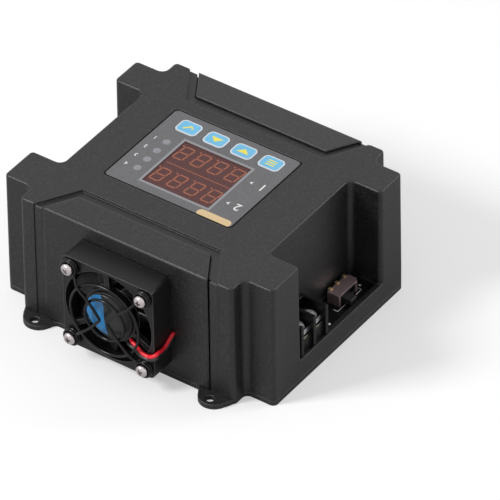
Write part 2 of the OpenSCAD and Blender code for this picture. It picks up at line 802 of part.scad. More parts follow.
// A plug that fills its socket and stands out to where its lead starts
module plug(place, w, low, high) {
    plug_w = w - 2 * socket_wall - fit;
    plug_d = socket_d - 2 * socket_wall - fit;
    translate([place[0] - plug_w / 2, place[1] - plug_d / 2, low]) cube([plug_w, plug_d, high - low]);
}
module cable_plugs() {
    seat = socket_floor + fit;
    color([0.93, 0.92, 0.88]) {
        plug(fan_socket, fan_socket_w, board_top + seat, plug_z);
        plug(link_low, link_socket_w, board_top + seat, plug_z);
        plug(link_high, link_socket_w, upper_plug_z, control_under - seat);
    }
}

module link_cable() {
    color([0.6, 0.6, 0.62])
        sweep(curve(link_route, 3), [[-5, -0.5], [5, -0.5], [5, 0.5], [-5, 0.5]], [0.01, 1, 0]);
}

module heatsink() {
    color([0.72, 0.73, 0.74]) translate([sink_x - sink_w / 2, sink_y - sink_d / 2, board_top]) difference() {
        cube([sink_w, sink_d, sink_h]);
        for (k = [0:fin_count - 1]) {
            translate([2 + k * fin_pitch, -1, -1]) cube([fin_gap, fin_depth + 1, sink_h + 2]);
        }
    }
}

// Power transistors with their tabs against the back of the heatsink
module power_transistors() {
    leg_h = 4;
    body_h = 9;
    tab_h = 6;
    color([0.12, 0.12, 0.13]) for (k = [0:3]) {
        translate([sink_x + (k - 1.5) * transistor_pitch, sink_y + sink_d / 2, board_top]) {
            translate([-transistor_w / 2, 0, leg_h]) cube([transistor_w, transistor_t, body_h]);
            translate([-transistor_w / 2, 0, leg_h + body_h]) cube([transistor_w, 1.3, tab_h]);
            for (j = [-1:1]) {
                translate([j * 2.54 - 0.4, 2, 0]) cube([0.8, 0.5, leg_h]);
            }
        }
    }
}

module inductor_core() {
    color([0.85, 0.78, 0.3]) translate([core_x, core_y, board_top + wire_t]) rotate_extrude()
        translate([core_in, 0]) square([core_out - core_in, core_h]);
}

// The turns of the winding, each a flat loop round the core
module inductor_winding() {
    color([0.72, 0.4, 0.18]) translate([core_x, core_y, board_top]) for (k = [0:turns - 1]) {
        rotate(k * 310 / turns) rotate([90, 0, 0]) linear_extrude(wire_t, center = true) difference() {
            translate([core_in - wire_t - fit, 0])
                square([core_out - core_in + 2 * (wire_t + fit), core_h + 2 * wire_t]);
            translate([core_in - fit, wire_t]) square([core_out - core_in + 2 * fit, core_h]);
        }
    }
}

// A can capacitor with a rolled groove near its foot
module capacitor(r, h) {
    rotate_extrude() polygon([
        [0, 0], [r - 0.5, 0], [r, 0.5], [r, 2.2], [r - 0.5, 2.7], [r - 0.5, 3.1],
        [r, 3.6], [r, h - 0.6], [r - 0.6, h], [r - 1, h - 0.3], [0, h - 0.3]
    ]);
}
module input_capacitors() {
    color([0.1, 0.12, 0.3]) for (p = input_can_places) {
        translate([p[0], p[1], board_top]) capacitor(input_can[0], input_can[1]);
    }
}
module output_capacitors() {
    color([0.1, 0.12, 0.3]) for (p = output_can_places) {
        translate([p[0], p[1], board_top]) capacitor(output_can[0], output_can[1]);
    }
}

// A thick wire bent into an arch that measures the current
module current_shunt() {
    leg_h = 5;
    color([0.6, 0.42, 0.28]) translate([shunt_place[0], shunt_place[1], board_top]) {
        for (s = [-1, 1]) {
            translate([s * shunt_span, 0, 0]) cylinder(r = shunt_wire_r, h = leg_h);
        }
        translate([0, 0, leg_h]) rotate([90, 0, 0]) rotate_extrude(angle = 180)
            translate([shunt_span, 0]) circle(r = shunt_wire_r, $fn = 24);
    }
}

// A two pole barrier block with its dividers, back wall and threaded step
module terminal_body() {
    foot_front = side_x - wall - 0.3;
    difference() {
        union() {
            translate([term_back, term_y, board_top]) cube([foot_front - term_back, term_l, step_h]);
            translate([term_back, term_y, sill_z + 0.3])
                cube([term_front - 1.2 - term_back, term_l, step_z - sill_z - 0.3]);
            translate([term_back, term_y, board_top]) cube([1.6, term_l, divider_h]);
            for (k = [0:2]) {
                translate([term_back, term_y + k * pole_pitch, sill_z + 0.3])
                    cube([term_front - term_back, divider_t, divider_h - sill_rise - 0.3]);
            }
        }
        for (y = pole_ys) {
            translate([pole_x, y, board_top + 0.6]) cylinder(d = pole_screw_d + 0.2, h = step_h);
        }
    }
}
module output_terminal_block() { color([0.15, 0.15, 0.16]) terminal_body(); }
module input_terminal_block() { color([0.15, 0.15, 0.16]) mirror([1, 0, 0]) terminal_body(); }

module contact_plates() {
    plate_l = term_front - 1.6 - term_back - 2;
    for (y = pole_ys) {
        difference() {
            translate([term_back + 2, y - clamp_w / 2, step_z]) cube([plate_l, clamp_w, contact_t]);
            translate([pole_x, y, step_z - 1]) cylinder(d = pole_screw_d + 0.2, h = 3);
        }
    }
}
module output_contacts() { color([0.75, 0.73, 0.66]) contact_plates(); }
module input_contacts() { color([0.75, 0.73, 0.66]) mirror([1, 0, 0]) contact_plates(); }

// A clamp plate with its two turned-up edges
module clamp(y) {
    color([0.8, 0.8, 0.82]) translate([pole_x, y, clamp_z]) difference() {
        union() {
            translate([-clamp_d / 2, -clamp_w / 2, 0]) cube([clamp_d, clamp_w, clamp_t]);
            for (s = [-1, 1]) {
                translate([s * (clamp_d - clamp_edge) / 2 - clamp_edge / 2, -clamp_w / 2, 0])
                    cube([clamp_edge, clamp_w, clamp_t + 1.2]);
            }
        }
        translate([0, 0, -1]) cylinder(d = pole_screw_d + 0.2, h = 4);
    }
}
module pole_screw(y) {
    color([0.82, 0.82, 0.84]) translate([pole_x, y, clamp_z + clamp_t])
        pan_screw(pole_head_d / 2, pole_head_h, pole_screw_d / 2, pole_screw_len, 1);
}
module output_clamp_front() { clamp(pole_ys[0]); }
module output_clamp_rear() { clamp(pole_ys[1]); }
module input_clamp_front() { mirror([1, 0, 0]) clamp(pole_ys[0]); }
module input_clamp_rear() { mirror([1, 0, 0]) clamp(pole_ys[1]); }
module output_screw_front() { pole_screw(pole_ys[0]); }
module output_screw_rear() { pole_screw(pole_ys[1]); }
module input_screw_front() { mirror([1, 0, 0]) pole_screw(pole_ys[0]); }
module input_screw_rear() { mirror([1, 0, 0]) pole_screw(pole_ys[1]); }

// The switch's metal housing: a lid, two folded ends and a short leg at each end of the open side
module switch_body() {
    half_w = switch_w / 2;
    half_l = switch_l / 2;
    cut = switch_chamfer;
    leg_w = 1;
    color([0.5, 0.42, 0.44]) translate([switch_x, switch_y, board_top]) {
        translate([0, 0, switch_h - switch_skin]) linear_extrude(switch_skin) polygon([
            [-half_w, -half_l], [half_w, -half_l], [half_w, half_l - cut],
            [half_w - cut, half_l], [-half_w + cut, half_l], [-half_w, half_l - cut]
        ]);
        translate([-half_w, -half_l, 0]) cube([switch_w, switch_skin, switch_h]);
        translate([-half_w + cut, half_l - switch_skin, 0]) cube([switch_w - 2 * cut, switch_skin, switch_h]);
        for (y = [-half_l, half_l - cut - leg_w]) {
            translate([half_w - switch_skin, y, 0]) cube([switch_skin, leg_w, switch_h]);
        }
    }
}
module switch_base() {
    slot_l = knob_w + knob_travel + 0.3;
    skin = switch_skin + 0.05;
    color([0.12, 0.12, 0.12]) difference() {
        translate([switch_x - switch_w / 2, switch_y - switch_l / 2 + skin, board_top])
            cube([switch_w - skin, switch_l - skin - switch_chamfer - 0.05, switch_h - skin]);
        translate([switch_x + switch_w / 2 - knob_in - 0.2, switch_y - slot_l / 2, knob_z - 0.15])
            cube([knob_in + 2, slot_l, knob_h + 0.3]);
    }
}
module switch_knob() {
    color([0.2, 0.2, 0.21]) translate([switch_x + switch_w / 2 - knob_in, switch_y - knob_travel / 2 - knob_w / 2, knob_z])
        cube([knob_in + knob_out, knob_w, knob_h]);
}
module switch_contacts() {
    contact_y = 4.5;
    color([0.85, 0.68, 0.3]) for (k = [-1:1]) {
        translate([switch_x - switch_w / 2 - 0.5, switch_y + k * contact_y - 0.7, board_top]) {
            cube([0.5, 1.4, switch_h + 0.4]);
            translate([0, 0, switch_h]) cube([1.4, 1.4, 0.4]);
        }
    }
}

// Places a fan piece: its own +Z leaves the front end of the case
module at_fan() {
    translate([0, -end_y, fan_z]) rotate([90, 0, 0]) children();
}

module fan_frame() {
    motor_r = hub_d / 2 - 0.2;
    color([0.16, 0.16, 0.17]) at_fan() {
        difference() {
            linear_extrude(fan_t) polygon(outline(plate_corners(fan_w, fan_w, 2.4)));
            translate([0, 0, -1]) cylinder(d = duct_d, h = fan_t + 2, $fn = 72);
            for (p = fan_corners) {
                translate([p[0], p[1], -1]) cylinder(r = fan_screw_r + 0.25, h = fan_t + 2);
            }
        }
        difference() {
            union() {
                translate([0, 0, strut_back]) cylinder(r = motor_r, h = strut_t);
                translate([0, 0, 2.6]) cylinder(r = socket_r, h = strut_back - 2.5);
                intersection() {
                    translate([0, 0, strut_back]) cylinder(d = duct_d + 0.6, h = strut_t);
                    for (k = [0:2]) {
                        rotate(120 * k + 95) translate([motor_r - 1, -1, strut_back]) cube([duct_d / 2, 2, strut_t]);
                    }
                }
            }
            translate([0, 0, 1]) cylinder(r = bearing_r, h = strut_back - 1);
            translate([0, 0, 1]) cylinder(r = shaft_r + 0.4, h = strut_back);
        }
    }
}

// One blade: a curved slab that reaches out along +X
module blade() {
    rise = rotor_front - rotor_back - 0.4;
    curl = 1.1;
    line = [for (k = [-4:4]) [k, rotor_back + 0.2 + rise * (k + 4) / 8 + curl * (1 - k * k / 16)]];
    back = [for (k = [4:-1:-4]) [k + 0.5, rotor_back + 0.2 - 0.5 + rise * (k + 4) / 8 + curl * (1 - k * k / 16)]];
    rotate([90, 0, 90]) linear_extrude(rotor_d / 2 + 1) polygon(concat(line, back));
}

module fan_rotor() {
    color([0.13, 0.13, 0.14]) at_fan() {
        difference() {
            translate([0, 0, rotor_back]) cylinder(d = hub_d, h = rotor_front - rotor_back);
            translate([0, 0, rotor_back + 1.2]) cylinder(r = hub_d / 2 - cup_wall, h = 10);
            translate([0, 0, rotor_back + 0.5]) cylinder(r = shaft_r, h = 3);
        }
        intersection() {
            difference() {
                translate([0, 0, rotor_back]) cylinder(d = rotor_d, h = rotor_front - rotor_back);
                translate([0, 0, rotor_back - 1]) cylinder(r = hub_d / 2 - 0.3, h = 10);
            }
            union() {
                for (k = [0:blade_count - 1]) {
                    rotate(k * 360 / blade_count) blade();
                }
            }
        }
    }
}

module fan_magnet() {
    ring_r = hub_d / 2 - cup_wall - 0.02;
    color([0.25, 0.24, 0.24]) at_fan() translate([0, 0, rotor_back + 1.2]) difference() {
        cylinder(r = ring_r, h = 4.4);
        translate([0, 0, -1]) cylinder(r = ring_r - 1.3, h = 7);
    }
}

module fan_shaft() {
    color([0.75, 0.75, 0.77]) at_fan() translate([0, 0, rotor_back + 0.5])
        cylinder(r = shaft_r - 0.02, h = strut_back - rotor_back - 0.3);
}

module fan_bearing() {
    color([0.75, 0.6, 0.3]) at_fan() translate([0, 0, 2.6]) difference() {
        cylinder(r = bearing_r - 0.02, h = strut_back - 2.6);
        translate([0, 0, -1]) cylinder(r = shaft_r + 0.03, h = 9);
    }
}

// Four wound poles round the bearing tube
module fan_stator() {
    pole_out = hub_d / 2 - cup_wall - 1.3 - 0.5;
    color([0.6, 0.35, 0.18]) at_fan() translate([0, 0, 2.9]) {
        difference() {
            union() {
                for (k = [0:3]) {
                    rotate(90 * k + 45) translate([socket_r - 0.5, -1.6, 0.4]) cube([pole_out - socket_r - 0.6, 3.2, 3.2]);
                }
                cylinder(r = socket_r + 1, h = 3.6);
                intersection() {
                    difference() {
                        cylinder(r = pole_out, h = 3.6);
                        translate([0, 0, -1]) cylinder(r = pole_out - 1.2, h = 6);
                    }
                    for (k = [0:3]) {
                        rotate(90 * k + 45) translate([0, -3.6, 0]) cube([12, 7.2, 4]);
                    }
                }
            }
            translate([0, 0, -1]) cylinder(r = socket_r + 0.02, h = 6);
        }
    }
}

module fan_label() {
    color([0.2, 0.5, 0.75]) at_fan() translate([0, 0, strut_back + strut_t]) cylinder(r = label_r, h = 0.15);
}

// Two rings and two bent wires, each from a coiled eyelet to the middle and back
module fan_guard() {
    wire_r = guard_wire / 2;
    ring_z = fan_t + guard_rise;
    wire_z = ring_z + guard_wire - 0.15;
    eye_z = fan_t + wire_r;
    leave_z = eye_z + eyelet_turn;
    far = fan_pitch / 2;
    path = [
        [-far + 2.1, far - 2.1, leave_z], [-far + 3.4, far - 3.6, leave_z + 0.7], [-far + 5, far - 5.6, wire_z],
        [-6.6, 6.4, wire_z], [-2.6, 1.6, wire_z], [-1.7, 0, wire_z], [-2.6, -1.6, wire_z],
        [-6.6, -6.4, wire_z], [-far + 5, -far + 5.6, wire_z], [-far + 3.4, -far + 3.6, leave_z + 0.7],
        [-far + 2.1, -far + 2.1, leave_z]
    ];
    color([0.35, 0.35, 0.36]) at_fan() {
        for (r = [guard_r, guard_inner_r]) {
            translate([0, 0, ring_z]) rotate_extrude() translate([r, 0]) circle(r = wire_r, $fn = 16);
        }
        for (p = fan_corners, z = [eye_z, leave_z]) {
            translate([p[0], p[1], z]) rotate_extrude() translate([eyelet_r, 0]) circle(r = wire_r, $fn = 16);
        }
        for (m = [0, 1]) {
            mirror([m, 0, 0]) sweep(curve(path, 2), ring_section(wire_r, 10), [0, 0, 1]);
        }
    }
}

module fan_screws() {
    color([0.85, 0.85, 0.87]) at_fan() for (p = fan_corners) {
        translate([p[0], p[1], fan_t + eyelet_h])
            pan_screw(fan_head_r, fan_head_h, fan_screw_r, fan_screw_l, 0.8);
    }
}

module fan_lead_red() {
    color([0.85, 0.12, 0.18]) sweep(curve(red_route, 2), ring_section(lead_d / 2, 8), [0.5, 0.2, 1]);
}
module fan_lead_black() {
    color([0.08, 0.08, 0.09]) sweep(curve(black_route, 2), ring_section(lead_d / 2, 8), [0.5, 0.2, 1]);
}

top_shell();
base_plate();
front_end_cover();
rear_end_cover();
base_screws();
overlay();
display_window();
key_menu();
key_up();
key_down();
key_enter();
stem_menu();
stem_up();
stem_down();
stem_enter();
key_switches();
display_upper();
display_lower();
status_leds();
control_board();
control_board_screws();
power_board();
power_board_screws();
board_sockets();
cable_plugs();
link_cable();
heatsink();
power_transistors();
inductor_core();
inductor_winding();
input_capacitors();
output_capacitors();
current_shunt();
output_terminal_block();
input_terminal_block();
output_contacts();
input_contacts();
output_clamp_front();
output_clamp_rear();
input_clamp_front();
input_clamp_rear();
output_screw_front();
output_screw_rear();
input_screw_front();
input_screw_rear();
switch_body();
switch_base();
switch_knob();
switch_contacts();
fan_frame();
fan_rotor();
fan_magnet();
fan_shaft();
fan_bearing();
fan_stator();
fan_label();
fan_guard();
fan_screws();
fan_lead_red();
fan_lead_black();
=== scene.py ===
import math

import bmesh
import bpy
from mathutils import Matrix, Vector


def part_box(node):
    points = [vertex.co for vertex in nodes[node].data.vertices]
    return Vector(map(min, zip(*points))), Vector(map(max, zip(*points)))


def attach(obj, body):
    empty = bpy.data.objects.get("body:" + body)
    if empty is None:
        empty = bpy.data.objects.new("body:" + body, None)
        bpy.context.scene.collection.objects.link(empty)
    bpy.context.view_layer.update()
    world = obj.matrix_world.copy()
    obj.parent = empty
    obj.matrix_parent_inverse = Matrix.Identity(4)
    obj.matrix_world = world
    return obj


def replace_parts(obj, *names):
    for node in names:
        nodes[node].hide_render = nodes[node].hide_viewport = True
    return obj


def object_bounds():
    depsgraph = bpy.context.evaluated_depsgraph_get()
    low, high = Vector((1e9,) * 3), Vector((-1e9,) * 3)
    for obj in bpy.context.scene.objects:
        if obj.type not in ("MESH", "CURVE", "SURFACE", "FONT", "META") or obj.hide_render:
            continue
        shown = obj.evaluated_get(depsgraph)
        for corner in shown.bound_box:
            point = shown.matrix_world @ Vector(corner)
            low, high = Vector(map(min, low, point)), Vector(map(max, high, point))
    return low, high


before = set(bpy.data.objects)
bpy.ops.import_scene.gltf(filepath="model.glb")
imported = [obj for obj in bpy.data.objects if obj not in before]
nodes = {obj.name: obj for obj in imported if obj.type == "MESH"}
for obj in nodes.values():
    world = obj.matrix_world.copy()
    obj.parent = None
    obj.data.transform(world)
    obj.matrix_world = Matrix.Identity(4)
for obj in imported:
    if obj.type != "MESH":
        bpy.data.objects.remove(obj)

scene = bpy.context.scene
cad_low, cad_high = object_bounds()
mm = 0.001


# Camera
# The supply is seen from its fan end and its output side, from well above.
# A long lens far away keeps its upright edges parallel.
aim = Vector((0, 0, 26)) * mm
azimuth = math.radians(36.33)
elevation = math.radians(39.06)
roll = math.radians(0.96)
distance = 2286 * mm
aim_right = 16.5 * mm
aim_down = 6.7 * mm


def facing(direction):
    """The turn of a camera that looks along a direction and is rolled a little."""
    return direction.to_track_quat("-Z", "Y").to_matrix() @ Matrix.Rotation(-roll, 3, "Z")


back = Vector((
    math.sin(azimuth) * math.cos(elevation),
    -math.cos(azimuth) * math.cos(elevation),
    math.sin(elevation),
))
first_turn = facing(-back)
looked_at = aim + first_turn.col[0] * aim_right - first_turn.col[1] * aim_down
camera_data = bpy.data.cameras.new("camera")
camera_data.lens = 453.5
camera_data.sensor_width = 36
camera_data.clip_start = 0.1
camera_data.clip_end = 20
camera = bpy.data.objects.new("camera", camera_data)
camera.location = aim + back * distance
camera.rotation_euler = facing((looked_at - camera.location).normalized()).to_euler()
scene.collection.objects.link(camera)
scene.camera = camera


# Floor, sky and lamps
# A pale sheet under the supply takes its soft shadow, and reads as white paper.
# Two small lamps, near the fan end and behind the output side, draw a line of light on its edges.
def surface(name, colour, roughness):
    """A material with one Principled shader, and that shader."""
    material = bpy.data.materials.new(name)
    material.use_nodes = True
    shader = material.node_tree.nodes["Principled BSDF"]
    shader.inputs["Base Color"].default_value = (*colour, 1)
    shader.inputs["Roughness"].default_value = roughness
    return material, shader


def sums(tree, operation, first, second=None, third=None):
    """One Math node; each operand is an output socket or a number."""
    node = tree.nodes.new("ShaderNodeMath")
    node.operation = operation
    for socket, operand in zip(node.inputs, (first, second, third)):
        if isinstance(operand, (int, float)):
            socket.default_value = operand
        elif operand is not None:
            tree.links.new(operand, socket)
    return node.outputs[0]


def sees_background(tree, mirrored=1.0):
    """A value of 1 for camera rays and the given value for mirror and glass rays."""
    path = tree.nodes.new("ShaderNodeLightPath")
    either = sums(tree, "MAXIMUM", path.outputs["Is Glossy Ray"], path.outputs["Is Transmission Ray"])
    return sums(tree, "MULTIPLY_ADD", either, mirrored, path.outputs["Is Camera Ray"])


floor_half = 1.6
floor_gap = 0.02 * mm
paper_glow = 0.4
paper_white = 0.62
paper_mirrored = 0.2
bm = bmesh.new()
bmesh.ops.create_grid(bm, x_segments=1, y_segments=1, size=floor_half)
bmesh.ops.translate(bm, verts=bm.verts, vec=(0, 0, cad_low.z - floor_gap))
floor_mesh = bpy.data.meshes.new("floor")
bm.to_mesh(floor_mesh)
bm.free()
floor = bpy.data.objects.new("floor", floor_mesh)
scene.collection.objects.link(floor)
paper, paper_shader = surface("paper", (paper_white,) * 3, 0.9)
paper_shader.inputs["Specular IOR Level"].default_value = 0
paper_shader.inputs["Emission Color"].default_value = (1, 1, 1, 1)
tree = paper.node_tree
glow = sums(tree, "MULTIPLY", sees_background(tree, paper_mirrored), paper_glow)
tree.links.new(glow, paper_shader.inputs["Emission Strength"])
floor_mesh.materials.append(paper)

sky_fill = 0.5
sky = bpy.data.worlds.new("sky")
sky.use_nodes = True
sky_light = sky.node_tree.nodes["Background"]
sky_light.inputs["Color"].default_value = (1, 1, 1, 1)
brightness = sky.node_tree.nodes.new("ShaderNodeMapRange")
brightness.inputs["To Min"].default_value = sky_fill
brightness.inputs["To Max"].default_value = 1
sky.node_tree.links.new(sees_background(sky.node_tree), brightness.inputs["Value"])
sky.node_tree.links.new(brightness.outputs["Result"], sky_light.inputs["Strength"])
scene.world = sky


def softbox(name, place, size, power):
    """A square area lamp that faces the supply; place and size are in metres, power in watts."""
    lamp = bpy.data.lights.new(name, "AREA")
    lamp.size = size
    lamp.energy = power
    holder = bpy.data.objects.new(name, lamp)
    holder.location = place
    holder.rotation_euler = (aim - Vector(place)).to_track_quat("-Z", "Y").to_euler()
    scene.collection.objects.link(holder)


softbox("softbox_front", place=(-0.55, -0.75, 0.78), size=0.3, power=10)
softbox("softbox_back", place=(0.75, 0.75, 0.58), size=0.3, power=3.5)
scene.view_settings.view_transform = "Standard"


# Base plate
# A flat moulding in black ABS with four ears for the screws that hold the supply
# to a bench. Its edges are a little rounded and its face has the mould's fine grain.
def tone(red, green, blue):
    """A colour as it reads on screen, 0 to 255, in Blender's linear values."""
    shares = (level / 255 for level in (red, green, blue))
    return tuple(share / 12.92 if share <= 0.04045 else ((share + 0.055) / 1.055) ** 2.4 for share in shares)


def effect(name, inputs):
    """An empty node group with named inputs and three outputs, and its input and output nodes."""
    group = bpy.data.node_groups.new(name, "ShaderNodeTree")
    for label, value in inputs.items():
        is_number = isinstance(value, (int, float))
        kind = "NodeSocketFloat" if is_number else "NodeSocketColor"
        socket = group.interface.new_socket(label, in_out="INPUT", socket_type=kind)
        socket.default_value = value if is_number else (*value, 1)
    group.interface.new_socket("Base Color", in_out="OUTPUT", socket_type="NodeSocketColor")
    for label in ("Roughness", "Height"):
        group.interface.new_socket(label, in_out="OUTPUT", socket_type="NodeSocketFloat")
    return group, group.nodes.new("NodeGroupInput"), group.nodes.new("NodeGroupOutput")


def give_out(group, made, colour, roughness, height):
    """Links an effect's results to the outputs of its group."""
    for label, result in (("Base Color", colour), ("Roughness", roughness), ("Height", height)):
        group.links.new(result, made.inputs[label])


def swing(tree, value, size, middle=0.0):
    """A value that lies about 0.5, spread to a size round a middle."""
    return sums(tree, "MULTIPLY_ADD", value, size, middle - size / 2)


def noise(tree, scale, detail, stretch=(1, 1, 1)):
    """Noise on the piece's own coordinates, from about 0 to 1."""
    coordinates = tree.nodes.new("ShaderNodeTexCoord")
    mapping = tree.nodes.new("ShaderNodeMapping")
    mapping.inputs["Scale"].default_value = stretch
    tree.links.new(coordinates.outputs["Object"], mapping.inputs["Vector"])
    node = tree.nodes.new("ShaderNodeTexNoise")
    node.inputs["Detail"].default_value = detail
    tree.links.new(mapping.outputs["Vector"], node.inputs["Vector"])
    if isinstance(scale, (int, float)):
        node.inputs["Scale"].default_value = scale
    else:
        tree.links.new(scale, node.inputs["Scale"])
    return node.outputs["Fac"]


def rounded_normal(tree, radius, samples):
    """The normal that the surface would have with its edges rounded."""
    node = tree.nodes.new("ShaderNodeBevel")
    node.samples = samples
    node.inputs["Radius"].default_value = radius
    return node.outputs["Normal"]


def edge_of(tree, radius):
    """How far the surface is from flat within a radius: 0 on a face, more along an edge."""
    shape = tree.nodes.new("ShaderNodeNewGeometry")
    along = tree.nodes.new("ShaderNodeVectorMath")
    along.operation = "DOT_PRODUCT"
    tree.links.new(rounded_normal(tree, radius, 4), along.inputs[0])
    tree.links.new(shape.outputs["Normal"], along.inputs[1])
    return sums(tree, "SUBTRACT", 1, along.outputs["Value"])


def brightened(tree, colour, factor):
    """The colour made lighter or darker by a factor."""
    node = tree.nodes.new("ShaderNodeHueSaturation")
    tree.links.new(colour, node.inputs["Color"])
    tree.links.new(factor, node.inputs["Value"])
    return node.outputs["Color"]


def blend(tree, share, first, second):
    """A mix of two colours: the first where the share is 0, the second where it is 1."""
    node = tree.nodes.new("ShaderNodeMix")
    node.data_type = "RGBA"
    tree.links.new(share, node.inputs["Factor"])
    for label, colour in (("A", first), ("B", second)):
        if isinstance(colour, tuple):
            node.inputs[label].default_value = (*colour, 1)
        else:
            tree.links.new(colour, node.inputs[label])
    return node.outputs["Result"]


# Moulded plastic: a fine grain, faint cloudy patches, pale specks, and a painted highlight along the edges
moulded, given, made = effect("moulded_plastic", {
    "Colour": (0.1, 0.1, 0.1), "Roughness": 0.6,
    "Grains": 2600.0, "Clouding": 0.1, "Specks": 0.0, "Edge": 1.0,
})
patch_scale = 34.0
highlight_width = 0.5 * mm
highlight_colour = (0.5, 0.5, 0.5)
speck_level = 0.46
fine = noise(moulded, given.outputs["Grains"], 1.5)
broad = noise(moulded, patch_scale, 3)
grain = swing(moulded, fine, 0.22, 1)
cloud = sums(moulded, "MULTIPLY_ADD", sums(moulded, "SUBTRACT", broad, 0.5), given.outputs["Clouding"], grain)
# The edges are lifted towards pale grey, broken up by the grain: a painted highlight for the light that
# rounded edges catch
edge = sums(moulded, "MULTIPLY", edge_of(moulded, highlight_width), given.outputs["Edge"])
grainy_edge_highlight = sums(moulded, "MULTIPLY", edge, swing(moulded, fine, 1.2, 1))
speck = sums(moulded, "MAXIMUM", sums(moulded, "SUBTRACT", fine, speck_level), 0.0)
speck_and_highlight_share = sums(moulded, "MULTIPLY_ADD", speck, given.outputs["Specks"], grainy_edge_highlight)
clouded = brightened(moulded, given.outputs["Colour"], cloud)
give_out(
    moulded, made,
    colour=blend(moulded, speck_and_highlight_share, clouded, highlight_colour),
    roughness=sums(moulded, "ADD", given.outputs["Roughness"], swing(moulded, broad, 0.12)),
    height=fine)


def finish(name, group, colour, roughness, depth, plain=None, rounded=0.0, **values):
    """A material with a shared effect's colour, roughness and relief, over edges that look rounded."""
    material, shader = surface(name, colour, roughness)
    tree = material.node_tree
    look = tree.nodes.new("ShaderNodeGroup")
    look.node_tree = group
    look.inputs["Colour"].default_value = (*colour, 1)
    look.inputs["Roughness"].default_value = roughness
    for label, value in values.items():
        look.inputs[label].default_value = value
    for label, value in (plain or {}).items():
        shader.inputs[label].default_value = value
    tree.links.new(look.outputs["Base Color"], shader.inputs["Base Color"])
    tree.links.new(look.outputs["Roughness"], shader.inputs["Roughness"])
    relief = tree.nodes.new("ShaderNodeBump")
    relief.inputs["Strength"].default_value = 1
    relief.inputs["Distance"].default_value = depth
    tree.links.new(look.outputs["Height"], relief.inputs["Height"])
    if rounded:
        tree.links.new(rounded_normal(tree, rounded, 8), relief.inputs["Normal"])
    tree.links.new(relief.outputs["Normal"], shader.inputs["Normal"])
    return material


crease = math.radians(35)
weld_gap = 0.002 * mm


def dress(name, material, rounding=0.0):
    """Gives a CAD node its finish, and rounds its sharp edges by so many millimetres."""
    node = nodes[name]
    node.data.materials.clear()
    node.data.materials.append(material)
    joined = node.modifiers.new("joined", "WELD")
    joined.merge_threshold = weld_gap
    for label in ("custom_normal", "sharp_edge"):
        if label in node.data.attributes:
            node.data.attributes.remove(node.data.attributes[label])
    node.data.shade_smooth()
    if rounding:
        soft = node.modifiers.new("soft", "BEVEL")
        soft.width = rounding * mm
        soft.segments = 2
        soft.limit_method = "ANGLE"
        soft.angle_limit = crease
        soft.use_clamp_overlap = False
        soft.miter_outer = "MITER_ARC"
        even = node.modifiers.new("even", "WEIGHTED_NORMAL")
        even.keep_sharp = False
    else:
        parted = node.modifiers.new("parted", "EDGE_SPLIT")
        parted.split_angle = crease


base_plastic = finish(
    "base_plastic", moulded, tone(10, 10, 11), 0.46, 0.08 * mm, rounded=0.9 * mm,
    Grains=1500, Clouding=0.14, Specks=0.14, Edge=0.25)
dress("base_plate", base_plastic)


# Base screws
# Four zinc-plated pan-head screws come up from below into the pillars of the case.
# Their heads lie in counterbores, clear of the bench.
metal, given, made = effect("worked_metal", {
    "Colour": (0.7, 0.7, 0.7), "Roughness": 0.3, "Streaks": 900.0, "Tarnish": 0.2,
})
stain_scale = 320.0
streak_stretch = (1, 1, 0.12)
streak = noise(metal, given.outputs["Streaks"], 2, streak_stretch)
stain = noise(metal, stain_scale, 3)
dulled = sums(metal, "MULTIPLY", sums(metal, "SUBTRACT", 0.5, stain), given.outputs["Tarnish"])
lightness = sums(metal, "ADD", swing(metal, streak, 0.1, 1), dulled)
give_out(
    metal, made,
    colour=brightened(metal, given.outputs["Colour"], lightness),
    roughness=sums(metal, "ADD", given.outputs["Roughness"], swing(metal, stain, 0.14)),
    height=streak)

polished = {"Metallic": 1.0}
zinc = finish(
    "zinc_plate", metal, tone(205, 208, 212), 0.28, 0.004 * mm, polished, Streaks=1400, Tarnish=0.25)
dress("base_screws", zinc, 0.08)


# Power board
# A glass-fibre board under black solder mask. It rests on the base plate's standoffs,
# and its edge shows in both bays. The weave and the copper tracks raise its face a little.
board, given, made = effect("solder_mask", {"Colour": (0.02, 0.02, 0.02), "Roughness": 0.35, "Tracks": 0.5})
weave_scale = 620
weave_depth = 0.12
track_scale = 210
track_level = 0.34
coordinates = board.nodes.new("ShaderNodeTexCoord")
weave = 0
for direction in ("X", "Y"):
    thread = board.nodes.new("ShaderNodeTexWave")
    thread.bands_direction = direction
    thread.inputs["Scale"].default_value = weave_scale
    board.links.new(coordinates.outputs["Object"], thread.inputs["Vector"])
    weave = sums(board, "ADD", thread.outputs["Fac"], weave)
copper = board.nodes.new("ShaderNodeTexVoronoi")
copper.distance = "CHEBYCHEV"
copper.inputs["Scale"].default_value = track_scale
board.links.new(coordinates.outputs["Object"], copper.inputs["Vector"])
pour = sums(board, "GREATER_THAN", copper.outputs["Distance"], track_level)
track = sums(board, "MULTIPLY", pour, given.outputs["Tracks"])
give_out(
    board, made,
    colour=brightened(board, given.outputs["Colour"], sums(board, "ADD", track, 0.85)),
    roughness=sums(board, "MULTIPLY_ADD", noise(board, 500.0, 2), 0.12, given.outputs["Roughness"]),
    height=sums(board, "MULTIPLY_ADD", weave, weave_depth, track))

mask = finish(
    "black_solder_mask", board, tone(9, 10, 11), 0.38, 0.02 * mm, {"Specular IOR Level": 0.16}, Tracks=0.7)
dress("power_board", mask, 0.1)
dress("power_board_screws", zinc, 0.08)


# White marks are printed on the board round the switch, and tinned joints lie beside it
def corners(name):
    """The lowest and highest corner of a CAD node, in millimetres."""
    low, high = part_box(name)
    return low / mm, high / mm


